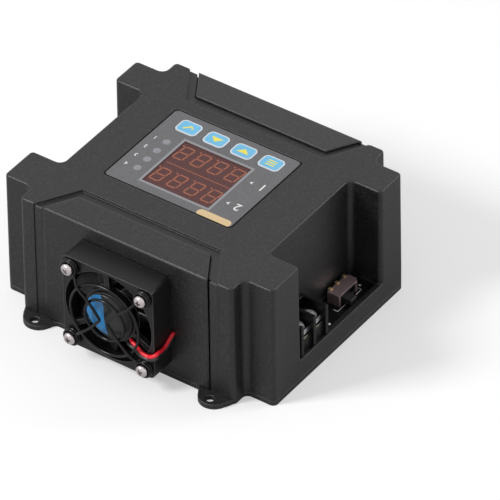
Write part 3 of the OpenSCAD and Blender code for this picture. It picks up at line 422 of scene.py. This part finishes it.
def fit(name, bm, materials, body="case", place=Matrix()):
    """Makes a mesh, built in millimetres, into a piece at its place that rides on a body."""
    mesh = bpy.data.meshes.new(name)
    bm.transform(Matrix.Scale(mm, 4) @ place)
    bm.normal_update()
    bm.to_mesh(mesh)
    bm.free()
    for material in materials:
        mesh.materials.append(material)
    mesh.shade_smooth()
    mesh.set_sharp_from_angle(angle=crease)
    piece = bpy.data.objects.new(name, mesh)
    scene.collection.objects.link(piece)
    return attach(piece, body)


def slab(bm, low, high, edge_r=0.0, corner_r=0.0):
    """Adds a box between two corners, with all its edges or only its upright corners rounded."""
    low, high = Vector(low), Vector(high)
    size = Matrix.Diagonal((*(high - low), 1))
    box = bmesh.ops.create_cube(bm, size=1, matrix=Matrix.Translation((low + high) / 2) @ size)
    edges = list(dict.fromkeys(edge for vert in box["verts"] for edge in vert.link_edges))
    if corner_r:
        edges = [edge for edge in edges if abs((edge.verts[0].co - edge.verts[1].co).z) > 1e-6]
    if corner_r or edge_r:
        bmesh.ops.bevel(
            bm, geom=edges, offset=corner_r or edge_r, offset_type="OFFSET", segments=6 if corner_r else 2,
            profile=0.5, affect="EDGES", material=-1)


board_top = corners("power_board")[1].z
ink = finish("white_ink", moulded, tone(225, 226, 224), 0.6, 0.004 * mm, Clouding=0.2, Edge=0.0)
ink_t = 0.02
mark_x = 53.5
mark_w = 0.24
mark_return = 1.8
bm = bmesh.new()
for y_low, y_high, y_return in ((7.2, 12.4, 7.2), (18.9, 22.4, 22.4)):
    slab(bm, (mark_x, y_low, board_top), (mark_x + mark_w, y_high, board_top + ink_t))
    slab(bm, (mark_x - mark_return, y_return, board_top), (mark_x, y_return + mark_w, board_top + ink_t))
fit("board_marks", bm, [ink])


double_gap = 1e-4


def turned(profile, steps):
    """A solid of revolution about Z from points of radius and height."""
    bm = bmesh.new()
    line = [bm.verts.new((radius, 0, height)) for radius, height in profile]
    edges = [bm.edges.new(pair) for pair in zip(line, line[1:])]
    bmesh.ops.spin(
        bm, geom=line + edges, cent=(0, 0, 0), axis=(0, 0, 1), dvec=(0, 0, 0), angle=math.tau,
        steps=steps, use_merge=True, use_duplicate=False)
    bmesh.ops.remove_doubles(bm, verts=bm.verts, dist=double_gap)
    bmesh.ops.recalc_face_normals(bm, faces=bm.faces)
    return bm


def gather(bm, part, *places):
    """Adds a copy of a mesh at each of the places, and frees it."""
    for place in places:
        mesh = bpy.data.meshes.new("part")
        part.to_mesh(mesh)
        mesh.transform(place)
        bm.from_mesh(mesh)
        bpy.data.meshes.remove(mesh)
    part.free()


tin = finish("tinned_solder", metal, tone(190, 192, 192), 0.3, 0.01 * mm, polished, Streaks=700, Tarnish=0.3)
joint_spots = ((54.9, -0.1), (56.8, -3.2), (49.6, 24.3), (51.6, 24.3))
joint_profile = [(0, 0.32), (0.22, 0.3), (0.34, 0.16), (0.6, 0.05), (0.78, 0), (0, 0)]
joint = turned(joint_profile, 20)
bm = bmesh.new()
gather(bm, joint, *(Matrix.Translation((x, y, board_top)) for x, y in joint_spots))
fit("board_joints", bm, [tin])


# Sockets, plugs and the ribbon cable
# White nylon headers with their plugs. The header in the far bay takes the control lead,
# so it is empty and its four pins show. A flat grey cable links the two boards.
nylon = finish("white_nylon", moulded, tone(222, 220, 208), 0.45, 0.01 * mm, Clouding=0.08, Edge=0.2)
dress("board_sockets", nylon, 0.12)
dress("cable_plugs", nylon, 0.1)
cable_skin = finish("grey_cable", moulded, tone(150, 150, 153), 0.55, 0.02 * mm, Clouding=0.1, Edge=0.2)
dress("link_cable", cable_skin)
gilt = finish(
    "gilt_contact", metal, tone(216, 190, 146), 0.4, 0.003 * mm, {"Metallic": 0.8}, Streaks=1200, Tarnish=0.2)
pin_w = 0.64
pin_pitch = 2.5
pin_x, pins_y = -51.5, 15.5
pin_foot, pin_tip = board_top + 1.0, board_top + 5.8
bm = bmesh.new()
for k in range(4):
    y = pins_y + (k - 1.5) * pin_pitch
    slab(bm, (pin_x - pin_w / 2, y - pin_w / 2, pin_foot),
         (pin_x + pin_w / 2, y + pin_w / 2, pin_tip), edge_r=0.1)
fit("control_pins", bm, [gilt])


# Heatsink and power transistors
# An extruded aluminium heatsink stands in the fan's air. Four transistors are pressed
# against its flat back.
alloy = finish(
    "extruded_alloy", metal, tone(178, 181, 184), 0.38, 0.02 * mm, polished, Streaks=500, Tarnish=0.2)
dress("heatsink", alloy, 0.15)
epoxy = finish(
    "black_epoxy", moulded, tone(34, 34, 36), 0.42, 0.012 * mm, Grains=4000, Clouding=0.1, Edge=0.3)
dress("power_transistors", epoxy, 0.12)


# Inductor, capacitors and shunt
# A painted iron-powder ring wound with enamelled copper, aluminium cans in blue
# sleeves, and a thick bare wire that measures the current.
core_paint = finish(
    "core_paint", moulded, tone(218, 200, 92), 0.5, 0.03 * mm, Grains=1500, Clouding=0.2, Edge=0.3)
dress("inductor_core", core_paint, 0.4)
enamel = finish(
    "enamelled_copper", metal, tone(190, 104, 52), 0.25, 0.01 * mm, polished, Streaks=1500, Tarnish=0.3)
dress("inductor_winding", enamel, 0.3)
sleeve = finish(
    "capacitor_sleeve", moulded, tone(28, 34, 84), 0.35, 0.004 * mm, Grains=900, Clouding=0.1, Edge=0.2)
dress("input_capacitors", sleeve, 0.15)
dress("output_capacitors", sleeve, 0.15)
shunt_wire = finish(
    "shunt_wire", metal, tone(176, 140, 112), 0.32, 0.01 * mm, polished, Streaks=900, Tarnish=0.4)
dress("current_shunt", shunt_wire)


# Terminal blocks
# Two-pole barrier blocks in glossy black phenolic stand in the bays. Each pole has
# a tinned contact, a steel clamp plate and a cross-head screw that carries it.
phenolic = finish(
    "terminal_plastic", moulded, tone(9, 9, 10), 0.3, 0.012 * mm, {"Specular IOR Level": 0.2},
    Grains=1800, Clouding=0.1, Edge=0.3)
brass = finish(
    "tinned_brass", metal, tone(198, 194, 180), 0.28, 0.006 * mm, polished, Streaks=1100, Tarnish=0.3)
steel = finish(
    "clamp_steel", metal, tone(206, 208, 212), 0.24, 0.006 * mm, polished, Streaks=1300, Tarnish=0.2)
# Near white and mostly diffuse, so the terminal screws stay light down in the bays: a painted highlight for
# the glints of their plating
zinc_painted_glint = finish(
    "zinc_with_painted_glint", metal, tone(238, 238, 240), 0.3, 0.006 * mm, {"Metallic": 0.3}, Streaks=1200, Tarnish=0.3)


def carved(solid, cutter):
    """The first mesh with the second one cut out of it."""
    holders = []
    for label, part in (("solid", solid), ("cutter", cutter)):
        mesh = bpy.data.meshes.new(label)
        part.to_mesh(mesh)
        part.free()
        holder = bpy.data.objects.new(label, mesh)
        scene.collection.objects.link(holder)
        holders.append(holder)
    cut = holders[0].modifiers.new("cut", "BOOLEAN")
    cut.operation = "DIFFERENCE"
    cut.solver = "EXACT"
    cut.use_self = True
    cut.object = holders[1]
    result = bmesh.new()
    result.from_object(holders[0], bpy.context.evaluated_depsgraph_get())
    for holder in holders:
        bpy.data.meshes.remove(holder.data)
    return result


def cross_head(radius, height, shank_r, shank_l):
    """A pan-head screw with a tapered cross recess; the underside of its head is at z = 0."""
    rim_h = height * 0.3
    crown = [(radius * math.cos(angle), rim_h + (height - rim_h) * math.sin(angle))
             for angle in (math.radians(15 * k) for k in range(1, 6))]
    shank = [(0, -shank_l), (shank_r * 0.8, -shank_l), (shank_r, -shank_l + 0.4), (shank_r, 0)]
    head = [(radius - 0.1, 0), (radius, 0.12), (radius, rim_h), *crown, (0, height)]
    recess_l = radius * 1.4
    recess_w = radius * 0.3
    recess_d = height * 0.75
    foot_taper = (0.45, 0.6, 1)
    at_crown = Matrix.Translation((0, 0, height + 0.05))
    recess = bmesh.new()
    block = bmesh.new()
    bmesh.ops.create_cube(block, size=1, matrix=Matrix.Diagonal((recess_l, recess_w, 2 * recess_d, 1)))
    bmesh.ops.scale(block, vec=foot_taper, verts=[vert for vert in block.verts if vert.co.z < 0])
    gather(recess, block, at_crown, at_crown @ Matrix.Rotation(math.pi / 2, 4, "Z"))
    cone = [(0, -recess_d), (radius * 0.16, -recess_d), (radius * 0.36, recess_d), (0, recess_d)]
    gather(recess, turned(cone, 16), at_crown)
    return carved(turned([*shank, *head], 40), recess)


screw_head_r = 2.8
screw_head_h = 2.6
screw_shank_r = 1.7
for side in ("output", "input"):
    dress(f"{side}_terminal_block", phenolic, 0.2)
    dress(f"{side}_contacts", brass, 0.08)
    for end, turn in (("front", 0.35), ("rear", 1.1)):
        dress(f"{side}_clamp_{end}", steel, 0.12)
        name = f"{side}_screw_{end}"
        low, high = corners(name)
        head_foot = Vector(((low.x + high.x) / 2, (low.y + high.y) / 2, high.z - screw_head_h))
        bm = cross_head(screw_head_r, screw_head_h, screw_shank_r, head_foot.z - low.z)
        place = Matrix.Translation(head_foot) @ Matrix.Rotation(turn, 4, "Z")
        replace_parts(fit(name + "_finished", bm, [zinc_painted_glint], name, place), name)


# Slide switch
# A folded metal housing, browned by its passivation, round a black base. Its lever
# stands out towards the open side, and three gilt contacts fold over its back edge.
brown_metal = finish(
    "switch_housing", metal, tone(176, 152, 154), 0.4, 0.008 * mm, {"Metallic": 0.75},
    Streaks=800, Tarnish=0.3)
dress("switch_body", brown_metal, 0.15)
dress("switch_base", epoxy, 0.1)
dress("switch_knob", epoxy, 0.2)
dress("switch_contacts", gilt, 0.1)


# Fan
# A 40 mm fan in black glass-filled plastic. Its motor base hangs on three struts,
# and its seven blades turn on a steel shaft in a bronze bearing.
fan_plastic = finish(
    "fan_plastic", moulded, tone(8, 8, 9), 0.4, 0.04 * mm, {"Specular IOR Level": 0.35}, 0.35 * mm,
    Grains=2000, Clouding=0.1, Specks=0.08, Edge=0.5)
dress("fan_frame", fan_plastic)
dress("fan_rotor", fan_plastic, 0.15)
ferrite = finish("ferrite", moulded, tone(62, 60, 60), 0.7, 0.02 * mm, Grains=3000, Clouding=0.2, Edge=0.2)
dress("fan_magnet", ferrite)
shaft_steel = finish(
    "shaft_steel", metal, tone(196, 198, 202), 0.18, 0.002 * mm, polished, Streaks=1600, Tarnish=0.1)
dress("fan_shaft", shaft_steel)
bronze = finish(
    "bearing_bronze", metal, tone(176, 140, 84), 0.4, 0.01 * mm, polished, Streaks=900, Tarnish=0.3)
dress("fan_bearing", bronze)
dress("fan_stator", enamel, 0.1)

# A round step on the motor base carries the sticker
cover_face = -48.5
fan_axis_z = 26.5
at_fan = Matrix.Translation((0, cover_face, fan_axis_z)) @ Matrix.Rotation(math.pi / 2, 4, "X")
motor_front = 9.3
step_r = 10.05
step_h = 1.0
step_profile = [
    (0, step_h), (step_r - 0.45, step_h), (step_r - 0.15, step_h - 0.12), (step_r, step_h - 0.4),
    (step_r, 0), (0, 0)]
on_motor = at_fan @ Matrix.Translation((0, 0, motor_front))
fit("motor_base_step", turned(step_profile, 64), [fan_plastic], place=on_motor)

# The sticker is blue on one side and black on the other, with a wavy border between
wave_rate = 380.0
wave_start = -10.3
wave_size = 0.4 * mm
border_lean = -0.16
border_x = 2.2 * mm
sticker, sticker_shader = surface("label_film", tone(45, 130, 190), 0.32)
tree = sticker.node_tree
coordinates = tree.nodes.new("ShaderNodeTexCoord")
axes = tree.nodes.new("ShaderNodeSeparateXYZ")
tree.links.new(coordinates.outputs["Object"], axes.inputs["Vector"])
wave = sums(tree, "SINE", sums(tree, "MULTIPLY_ADD", axes.outputs["Z"], wave_rate, wave_start))
slope = sums(tree, "MULTIPLY_ADD", axes.outputs["Z"], border_lean, border_x)
border = sums(tree, "MULTIPLY_ADD", wave, wave_size, slope)
dark_side = sums(tree, "GREATER_THAN", axes.outputs["X"], border)
two_tone = blend(tree, dark_side, tone(40, 122, 180), tone(16, 17, 18))
mottled = brightened(tree, two_tone, swing(tree, noise(tree, 900.0, 2), 0.3, 1))
tree.links.new(mottled, sticker_shader.inputs["Base Color"])
sticker_r = 8.7
sticker_t = 0.14
sticker_x = -1.2
sticker_profile = [
    (0, sticker_t), (sticker_r - 0.08, sticker_t), (sticker_r, 0.06), (sticker_r, 0), (0, 0)]
bm = turned(sticker_profile, 64)
on_step = Matrix.Translation((sticker_x, 0, 0)) @ on_motor @ Matrix.Translation((0, 0, step_h))
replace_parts(fit("fan_sticker", bm, [sticker], place=on_step), "fan_label")


# Case
# The top shell and the covers in its two ends are moulded in one black ABS with
# a fine spark-eroded grain. The front cover carries the fan, the rear one has air slots.
case_black = tone(10, 10, 11)
case_grain = {"Grains": 1500, "Clouding": 0.12, "Specks": 0.12, "Edge": 0.2}
case_plastic = finish("case_plastic", moulded, case_black, 0.45, 0.08 * mm, rounded=0.7 * mm, **case_grain)
dress("top_shell", case_plastic, 0.08)
front_plastic = finish(
    "front_cover_plastic", moulded, case_black, 0.45, 0.08 * mm, rounded=1.5 * mm, **case_grain)
dress("front_end_cover", front_plastic, 0.08)
rear_plastic = finish(
    "rear_cover_plastic", moulded, case_black, 0.45, 0.08 * mm, {"Specular IOR Level": 0.64},
    rounded=1.3 * mm, **case_grain)
dress("rear_end_cover", rear_plastic, 0.08)


# The channel down each side of a cover is shallower than the one over the roof
def thicken(bm, offset):
    """Gives the flat faces of a mesh a thickness along an offset."""
    swept = bmesh.ops.extrude_face_region(bm, geom=bm.faces[:])
    moved = [item for item in swept["geom"] if isinstance(item, bmesh.types.BMVert)]
    bmesh.ops.translate(bm, verts=moved, vec=offset)
    bmesh.ops.recalc_face_normals(bm, faces=bm.faces)


channel_low, channel_high = 36.73, 40.45
channel_depth = 0.32
channel_back = 47.3
wall_foot, wall_top = 48.5, 48.1
plate_z, wall_sill, roof_bend, roof_z = 2.02, 9.1, 51.5, 51.95
channel_section = [
    (channel_back, plate_z), (wall_foot - channel_depth, plate_z), (wall_foot - channel_depth, wall_sill),
    (wall_top - channel_depth, roof_bend), (wall_top - channel_depth - 0.25, roof_z), (channel_back, roof_z)]
bm = bmesh.new()
for end in (-1, 1):
    for x in (-channel_high, channel_low):
        bm.faces.new([bm.verts.new((x, end * y, z)) for y, z in channel_section])
thicken(bm, (channel_high - channel_low, 0, 0))
fit("channel_floors", bm, [case_plastic])


# Control board, key switches, displays and lamps
# The board hangs from bosses under the roof. Each key switch has a nylon stem up to
# its key. The two display modules show through the window: orange segments, unlit.
dress("control_board", mask, 0.1)
dress("control_board_screws", zinc, 0.08)
dress("key_switches", epoxy, 0.15)
stem_nylon = finish("stem_nylon", moulded, tone(214, 210, 196), 0.5, 0.01 * mm, Clouding=0.1, Edge=0.2)
for key in ("menu", "down", "up", "enter"):
    dress(f"stem_{key}", stem_nylon, 0.1)
display_face = finish(
    "display_face", moulded, tone(80, 46, 46), 0.4, 0.008 * mm, Grains=3000, Clouding=0.08, Edge=0.1)
dress("display_upper", display_face, 0.15)
dress("display_lower", display_face, 0.15)
lens = finish("lamp_lens", moulded, tone(205, 205, 200), 0.25, 0.004 * mm, Clouding=0.05, Edge=0.1)
dress("status_leds", lens, 0.05)

# Seven strokes and a point make each digit; the reader stands behind the supply
segment_paint = finish(
    "segment_paint", moulded, tone(226, 144, 100), 0.5, 0.004 * mm, Clouding=0.15, Edge=0.0)
digit_w = 4.2
digit_h = 7.4
stroke_w = 0.62
stroke_gap = 0.12
digit_slant = 0.13
point_r = 0.42
point_gap = 0.55
digit_xs = (-12.85, -5.3, 2.3, 9.8)
row_ys = (6, -8.5)
divider_low, divider_high = (-15.2, -1.45), (12.5, -1.1)
display_top = corners("display_upper")[1].z


def stroke(bm, start, end):
    """Adds one flat segment with pointed ends between two points of the digit's plane."""
    start, end = Vector(start), Vector(end)
    along = (end - start).normalized()
    across = Vector((-along.y, along.x)) * stroke_w / 2
    start, end = start + along * stroke_gap, end - along * stroke_gap
    near, far = start + along * stroke_w / 2, end - along * stroke_w / 2
    ring = (start, near + across, far + across, end, far - across, near - across)
    bm.faces.new([bm.verts.new((point.x, point.y, 0)) for point in ring])


digit = bmesh.new()
half_w, half_h = digit_w / 2, digit_h / 2
for y in (half_h, 0, -half_h):
    stroke(digit, (-half_w, y), (half_w, y))
for y in (half_h, 0):
    for x in (-half_w, half_w):
        stroke(digit, (x, y - half_h), (x, y))
for vert in digit.verts:
    vert.co.x += digit_slant * vert.co.y
bmesh.ops.create_circle(
    digit, cap_ends=True, radius=point_r, segments=12,
    matrix=Matrix.Translation((half_w + point_gap, -half_h, 0)))
thicken(digit, (0, 0, ink_t))
bm = bmesh.new()
half_turn = Matrix.Rotation(math.pi, 4, "Z")
gather(bm, digit, *(
    Matrix.Translation((x, y, display_top)) @ half_turn for x in digit_xs for y in row_ys))
slab(bm, (*divider_low, display_top), (*divider_high, display_top + ink_t))
fit("display_segments", bm, [segment_paint])


# Overlay, window and keys
# A printed polyester film lies in a recess of the roof. It has a dark red window over
# the displays, a pale frame, four domed lamp spots and four blue keys with white rims.
film = finish(
    "overlay_film", moulded, tone(94, 94, 96), 0.48, 0.02 * mm,
    Grains=1900, Clouding=0.3, Specks=0.3, Edge=0.0)
dress("overlay", film)
window = finish(
    "window_film", moulded, tone(108, 60, 58), 0.16, 0.001 * mm, {"Alpha": 0.25}, Clouding=0.04, Edge=0.0)
dress("display_window", window)


# A thin black band lies round the film's edge: painted shade of the gap round the film, along with the film's
# own dark edge
def face_height(face):
    """How high the middle of a face lies."""
    return face.calc_center_median().z


gap_shade_ink = finish(
    "gap_shade_ink", moulded, tone(4, 4, 4), 0.7, 0.003 * mm, {"Specular IOR Level": 0.1},
    Clouding=0.1, Edge=0.0)
film_low, film_high = corners("overlay")
film_top = film_high.z
film_corner = 2.0
print_t = 0.015
gap_shade_w = 0.5
bm = bmesh.new()
slab(bm, (film_low.x, film_low.y, film_top),
     (film_high.x, film_high.y, film_top + print_t), corner_r=film_corner)
top_face = max(bm.faces, key=face_height)
bmesh.ops.inset_region(bm, faces=[top_face], thickness=gap_shade_w, depth=0)
low_face = min(bm.faces, key=face_height)
bmesh.ops.delete(bm, geom=[top_face, low_face], context="FACES")
fit("overlay_gap_shade", bm, [gap_shade_ink])

# A pale frame is printed round the window
pale = finish("pale_print", moulded, tone(140, 140, 144), 0.5, 0.003 * mm, Clouding=0.1, Edge=0.0)
frame_w = 1.0
window_low, window_high = corners("display_window")
left, front = window_low.x, window_low.y
right, rear = window_high.x, window_high.y
bm = bmesh.new()
for low, high in (
    ((left - frame_w, front - frame_w), (right + frame_w, front)),
    ((left - frame_w, rear), (right + frame_w, rear + frame_w)),
    ((left - frame_w, front), (left, rear)),
    ((right, front), (right + frame_w, rear)),
):
    slab(bm, (*low, film_top), (*high, film_top + print_t))
fit("window_frame_print", bm, [pale])

# The beige patch is plain
beige = finish("beige_print", moulded, tone(212, 186, 142), 0.5, 0.003 * mm, Clouding=0.06, Edge=0.0)
patch_x, patch_y = 17.9, -18.5
patch_w, patch_d = 14.6, 3.7
patch_r = patch_d / 2 - 0.02
bm = bmesh.new()
slab(bm, (patch_x - patch_w / 2, patch_y - patch_d / 2, film_top),
     (patch_x + patch_w / 2, patch_y + patch_d / 2, film_top + print_t), corner_r=patch_r)
fit("beige_patch", bm, [beige])

# Lamp spots: slightly domed, translucent
spot_film = finish(
    "lamp_spot", moulded, tone(134, 134, 140), 0.3, 0.004 * mm, Grains=1400, Clouding=0.3, Edge=0.0)
spot_r = 1.5
spot_rise = 0.1
lamp_w = 3.7
low, high = corners("status_leds")
lamp_x = (low.x + high.x) / 2
lamp_pitch = (high.y - low.y - lamp_w) / 3
lamp_ys = [(low.y + high.y) / 2 + (k - 1.5) * lamp_pitch for k in range(4)]
dome = [
    (0, spot_rise), (spot_r * 0.4, spot_rise * 0.93), (spot_r * 0.75, spot_rise * 0.6),
    (spot_r, 0.01), (spot_r, 0), (0, 0)]
bm = bmesh.new()
gather(bm, turned(dome, 32), *(Matrix.Translation((lamp_x, y, film_top)) for y in lamp_ys))
fit("lamp_spots", bm, [spot_film])


# Plain numbers stand beside the lamps and the displays, and an arrowhead by each row
def add_curve(bm, curve, place=Matrix()):
    """Adds the solid of a curve or a text to a mesh at a place, and removes the curve."""
    holder = bpy.data.objects.new("curve", curve)
    scene.collection.objects.link(holder)
    mesh = bpy.data.meshes.new_from_object(holder.evaluated_get(bpy.context.evaluated_depsgraph_get()))
    mesh.transform(place)
    bm.from_mesh(mesh)
    bpy.data.meshes.remove(mesh)
    bpy.data.curves.remove(curve)


def numeral(bm, text, size, x, y, bold):
    """Adds a printed number, upright for a reader behind the supply."""
    writing = bpy.data.curves.new("numeral", "FONT")
    writing.body = text
    writing.size = size
    writing.align_x = "CENTER"
    writing.align_y = "CENTER"
    writing.extrude = print_t / 2
    writing.offset = bold
    writing.resolution_u = 4
    add_curve(bm, writing, Matrix.Translation((x, y, film_top + print_t / 2)) @ half_turn)


numbers_x = -26.6
lamp_number = 2.3
row_number = 5.4
arrowhead = ((-0.75, 0), (0.75, 0.85), (0.35, 0), (0.75, -0.85))
bm = bmesh.new()
for k, y in enumerate(lamp_ys):
    numeral(bm, str(4 - k), lamp_number, numbers_x, y, bold=0.04)
for text, x, y, tip_x in (("1", 22.4, 5.5, 17.4), ("2", 21.4, -8.7, 17.1)):
    numeral(bm, text, row_number, x, y, bold=0.05)
    head = bmesh.new()
    head.faces.new([head.verts.new((*point, 0)) for point in arrowhead])
    thicken(head, (0, 0, print_t))
    gather(bm, head, Matrix.Translation((tip_x, y, film_top)))
fit("overlay_numbers", bm, [ink])

# Keys: a white rim round a blue field, each with a yellow sign
rim_white = finish("key_rim", moulded, tone(206, 212, 220), 0.42, 0.004 * mm, Clouding=0.05, Edge=0.0)
field_blue = finish(
    "key_field", moulded, tone(110, 184, 222), 0.38, 0.004 * mm, Grains=1200, Clouding=0.12, Edge=0.0)
sign_yellow = finish("key_sign", moulded, tone(232, 220, 92), 0.5, 0.003 * mm, Clouding=0.06, Edge=0.0)
key_rise = 0.46
key_corner = 2.0
rim_w = 0.55
rim_slope = 0.12
rim_drop = 0.06
field_slope = 0.1
field_drop = 0.02
sign_t = 0.02
bar_w = 0.56
signs = {
    "key_up": [((-2.6, 1.1), (2.5, 1.1), (0, -1.45))],
    "key_down": [((-2.6, -1.1), (0, 1.45), (2.6, -1.1))],
    "key_menu": [
        ((-1.9, y - bar_w / 2), (1.9, y - bar_w / 2), (1.9, y + bar_w / 2), (-1.9, y + bar_w / 2))
        for y in (-1.2, 0, 1.2)],
    "key_enter": [((1.9, 0.1), (0.5, 1.5), (-2.1, -1.0), (-1.6, -1.5), (0.55, 0.55), (1.45, -0.35))],
}
for name, outlines in signs.items():
    low, high = corners(name)
    bm = bmesh.new()
    slab(bm, low, (high.x, high.y, low.z + key_rise - rim_drop), corner_r=key_corner)
    top_face = max(bm.faces, key=face_height)
    for thickness, depth in ((rim_slope, rim_drop), (rim_w - rim_slope, 0), (field_slope, -field_drop)):
        bmesh.ops.inset_region(bm, faces=[top_face], thickness=thickness, depth=depth)
    top_face.material_index = 1
    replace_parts(fit(name + "_cap", bm, [rim_white, field_blue], name), name)
    bm = bmesh.new()
    for outline in outlines:
        bm.faces.new([bm.verts.new((*point, 0)) for point in outline])
    thicken(bm, (0, 0, sign_t))
    middle = Vector(((low.x + high.x) / 2, (low.y + high.y) / 2, low.z + key_rise - field_drop))
    fit(name + "_sign", bm, [sign_yellow], name, Matrix.Translation(middle))


# Fan guard, fan screws and leads
# The guard is bent and welded from dark-coated wire: two rings and two V-shaped wires
# with a coiled eyelet under each screw. The leads are PVC-covered and come round the frame.
def rod(bm, points, radius):
    """Adds a round wire that runs smoothly through the points."""
    line = bpy.data.curves.new("rod", "CURVE")
    line.dimensions = "3D"
    line.bevel_depth = radius
    line.bevel_resolution = 5
    line.resolution_u = 8
    line.use_fill_caps = True
    spline = line.splines.new("BEZIER")
    spline.bezier_points.add(len(points) - 1)
    points = [Vector(point) for point in points]
    for k, knot in enumerate(spline.bezier_points):
        before, after = points[max(k - 1, 0)], points[min(k + 1, len(points) - 1)]
        knot.co = points[k]
        knot.handle_left = points[k] - (after - before) / 6
        knot.handle_right = points[k] + (after - before) / 6
    add_curve(bm, line)


wire_r = 0.55


def wire_ring(radius, steps):
    """A closed ring of the guard's wire about Z."""
    ring = bmesh.new()
    loop = bmesh.ops.create_circle(
        ring, radius=wire_r, segments=14,
        matrix=Matrix.Translation((radius, 0, 0)) @ Matrix.Rotation(math.pi / 2, 4, "X"))
    bmesh.ops.spin(
        ring, geom=loop["verts"] + ring.edges[:], cent=(0, 0, 0), axis=(0, 0, 1), dvec=(0, 0, 0),
        angle=math.tau, steps=steps, use_merge=True, use_duplicate=False)
    bmesh.ops.remove_doubles(ring, verts=ring.verts, dist=double_gap)
    bmesh.ops.recalc_face_normals(ring, faces=ring.faces)
    return ring


guard_coat = finish(
    "guard_coat", moulded, tone(9, 9, 10), 0.2, 0.006 * mm, {"Specular IOR Level": 0.3},
    Grains=1600, Clouding=0.15, Edge=0.0)
ring_radii = (15, 8.6)
eyelet_r = 3
hole_half = 16
fan_depth = 10.5
ring_z = fan_depth + 2.4
wire_z = ring_z + 2 * wire_r - 0.18
eye_zs = (fan_depth + wire_r, fan_depth + 3 * wire_r - 0.1)
hole_spots = [(x, y) for x in (-hole_half, hole_half) for y in (-hole_half, hole_half)]
guard = bmesh.new()
for radius in ring_radii:
    gather(guard, wire_ring(radius, 96), Matrix.Translation((0, 0, ring_z)))
gather(guard, wire_ring(eyelet_r, 40), *(
    Matrix.Translation((x, y, z)) for x, y in hole_spots for z in eye_zs))
half_wire = (
    (hole_half - 2.1, hole_half - 2.1, eye_zs[1]), (hole_half - 3.4, hole_half - 3.6, eye_zs[1] + 0.7),
    (hole_half - 5, hole_half - 5.6, wire_z), (6.6, 6.4, wire_z), (2.6, 1.6, wire_z),
)
bend_x = 1.7
for side in (-1, 1):
    upper = [(side * x, y, z) for x, y, z in half_wire]
    lower = [(x, -y, z) for x, y, z in reversed(upper)]
    rod(guard, [*upper, (side * bend_x, 0, wire_z), *lower], wire_r)
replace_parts(fit("fan_guard_wires", guard, [guard_coat], place=at_fan), "fan_guard")

nickel = finish(
    "nickel_plate", metal, tone(200, 192, 192), 0.26, 0.004 * mm, polished, Streaks=1600, Tarnish=0.3)
fan_head_r = 2.4
fan_head_h = 1.8
fan_shank_r = 1.45
eyelet_top = eye_zs[1] + wire_r
low, high = corners("fan_screws")
shank_l = high.y - low.y - fan_head_h
bm = bmesh.new()
for (x, y), turn in zip(hole_spots, (0.2, 0.9, 0.55, 0.05)):
    screw = cross_head(fan_head_r, fan_head_h, fan_shank_r, shank_l)
    gather(bm, screw, Matrix.Translation((x, y, eyelet_top)) @ Matrix.Rotation(turn, 4, "Z"))
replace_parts(fit("fan_screws_finished", bm, [nickel], place=at_fan), "fan_screws")

lead_r = 0.74
red_route = [
    (8.6, -57.3, 18.5), (10.3, -58.7, 19.3), (13, -59.4, 18.5), (15.5, -59.8, 17.3),
    (18, -59.9, 17.1), (19.8, -60, 18), (21, -59.4, 18.8), (21.1, -57.4, 18.9),
    (20.9, -54.6, 18.6), (20.8, -52.4, 19.3), (20.7, -50.4, 20.3), (20.7, -48.6, 21.1),
    (20.7, -46.4, 21.3), (20.8, -44, 21.9), (23.2, -40.4, 22.4), (25.6, -37.4, 22.6),
    (27, -35, 20.4), (27, -35, 19.2), (27, -35, 18),
]
black_route = [
    (7, -57.3, 17.1), (9, -58.7, 17.6), (12, -59.4, 17.1), (14.7, -59.8, 15.9),
    (17.8, -59.9, 15.6), (19.8, -60, 16.5), (21, -59.4, 17.3), (21.1, -57.4, 17.4),
    (20.9, -54.6, 17.1), (20.8, -52.4, 17.8), (20.7, -50.4, 18.9), (20.7, -48.6, 19.7),
    (20.7, -46.4, 19.9), (20.7, -44, 20.2), (23.8, -41.2, 20), (27.2, -39.4, 20.6),
    (29.2, -37, 21), (29.4, -35, 20), (29.4, -35, 19), (29.4, -35, 18),
]
for name, route, colour in (("red", red_route, tone(236, 32, 48)), ("black", black_route, tone(30, 30, 32))):
    pvc = finish(f"{name}_pvc", moulded, colour, 0.36, 0.006 * mm, Grains=900, Clouding=0.08, Edge=0.0)
    bm = bmesh.new()
    rod(bm, route, lead_r)
    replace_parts(fit(f"{name}_lead", bm, [pvc]), f"fan_lead_{name}")
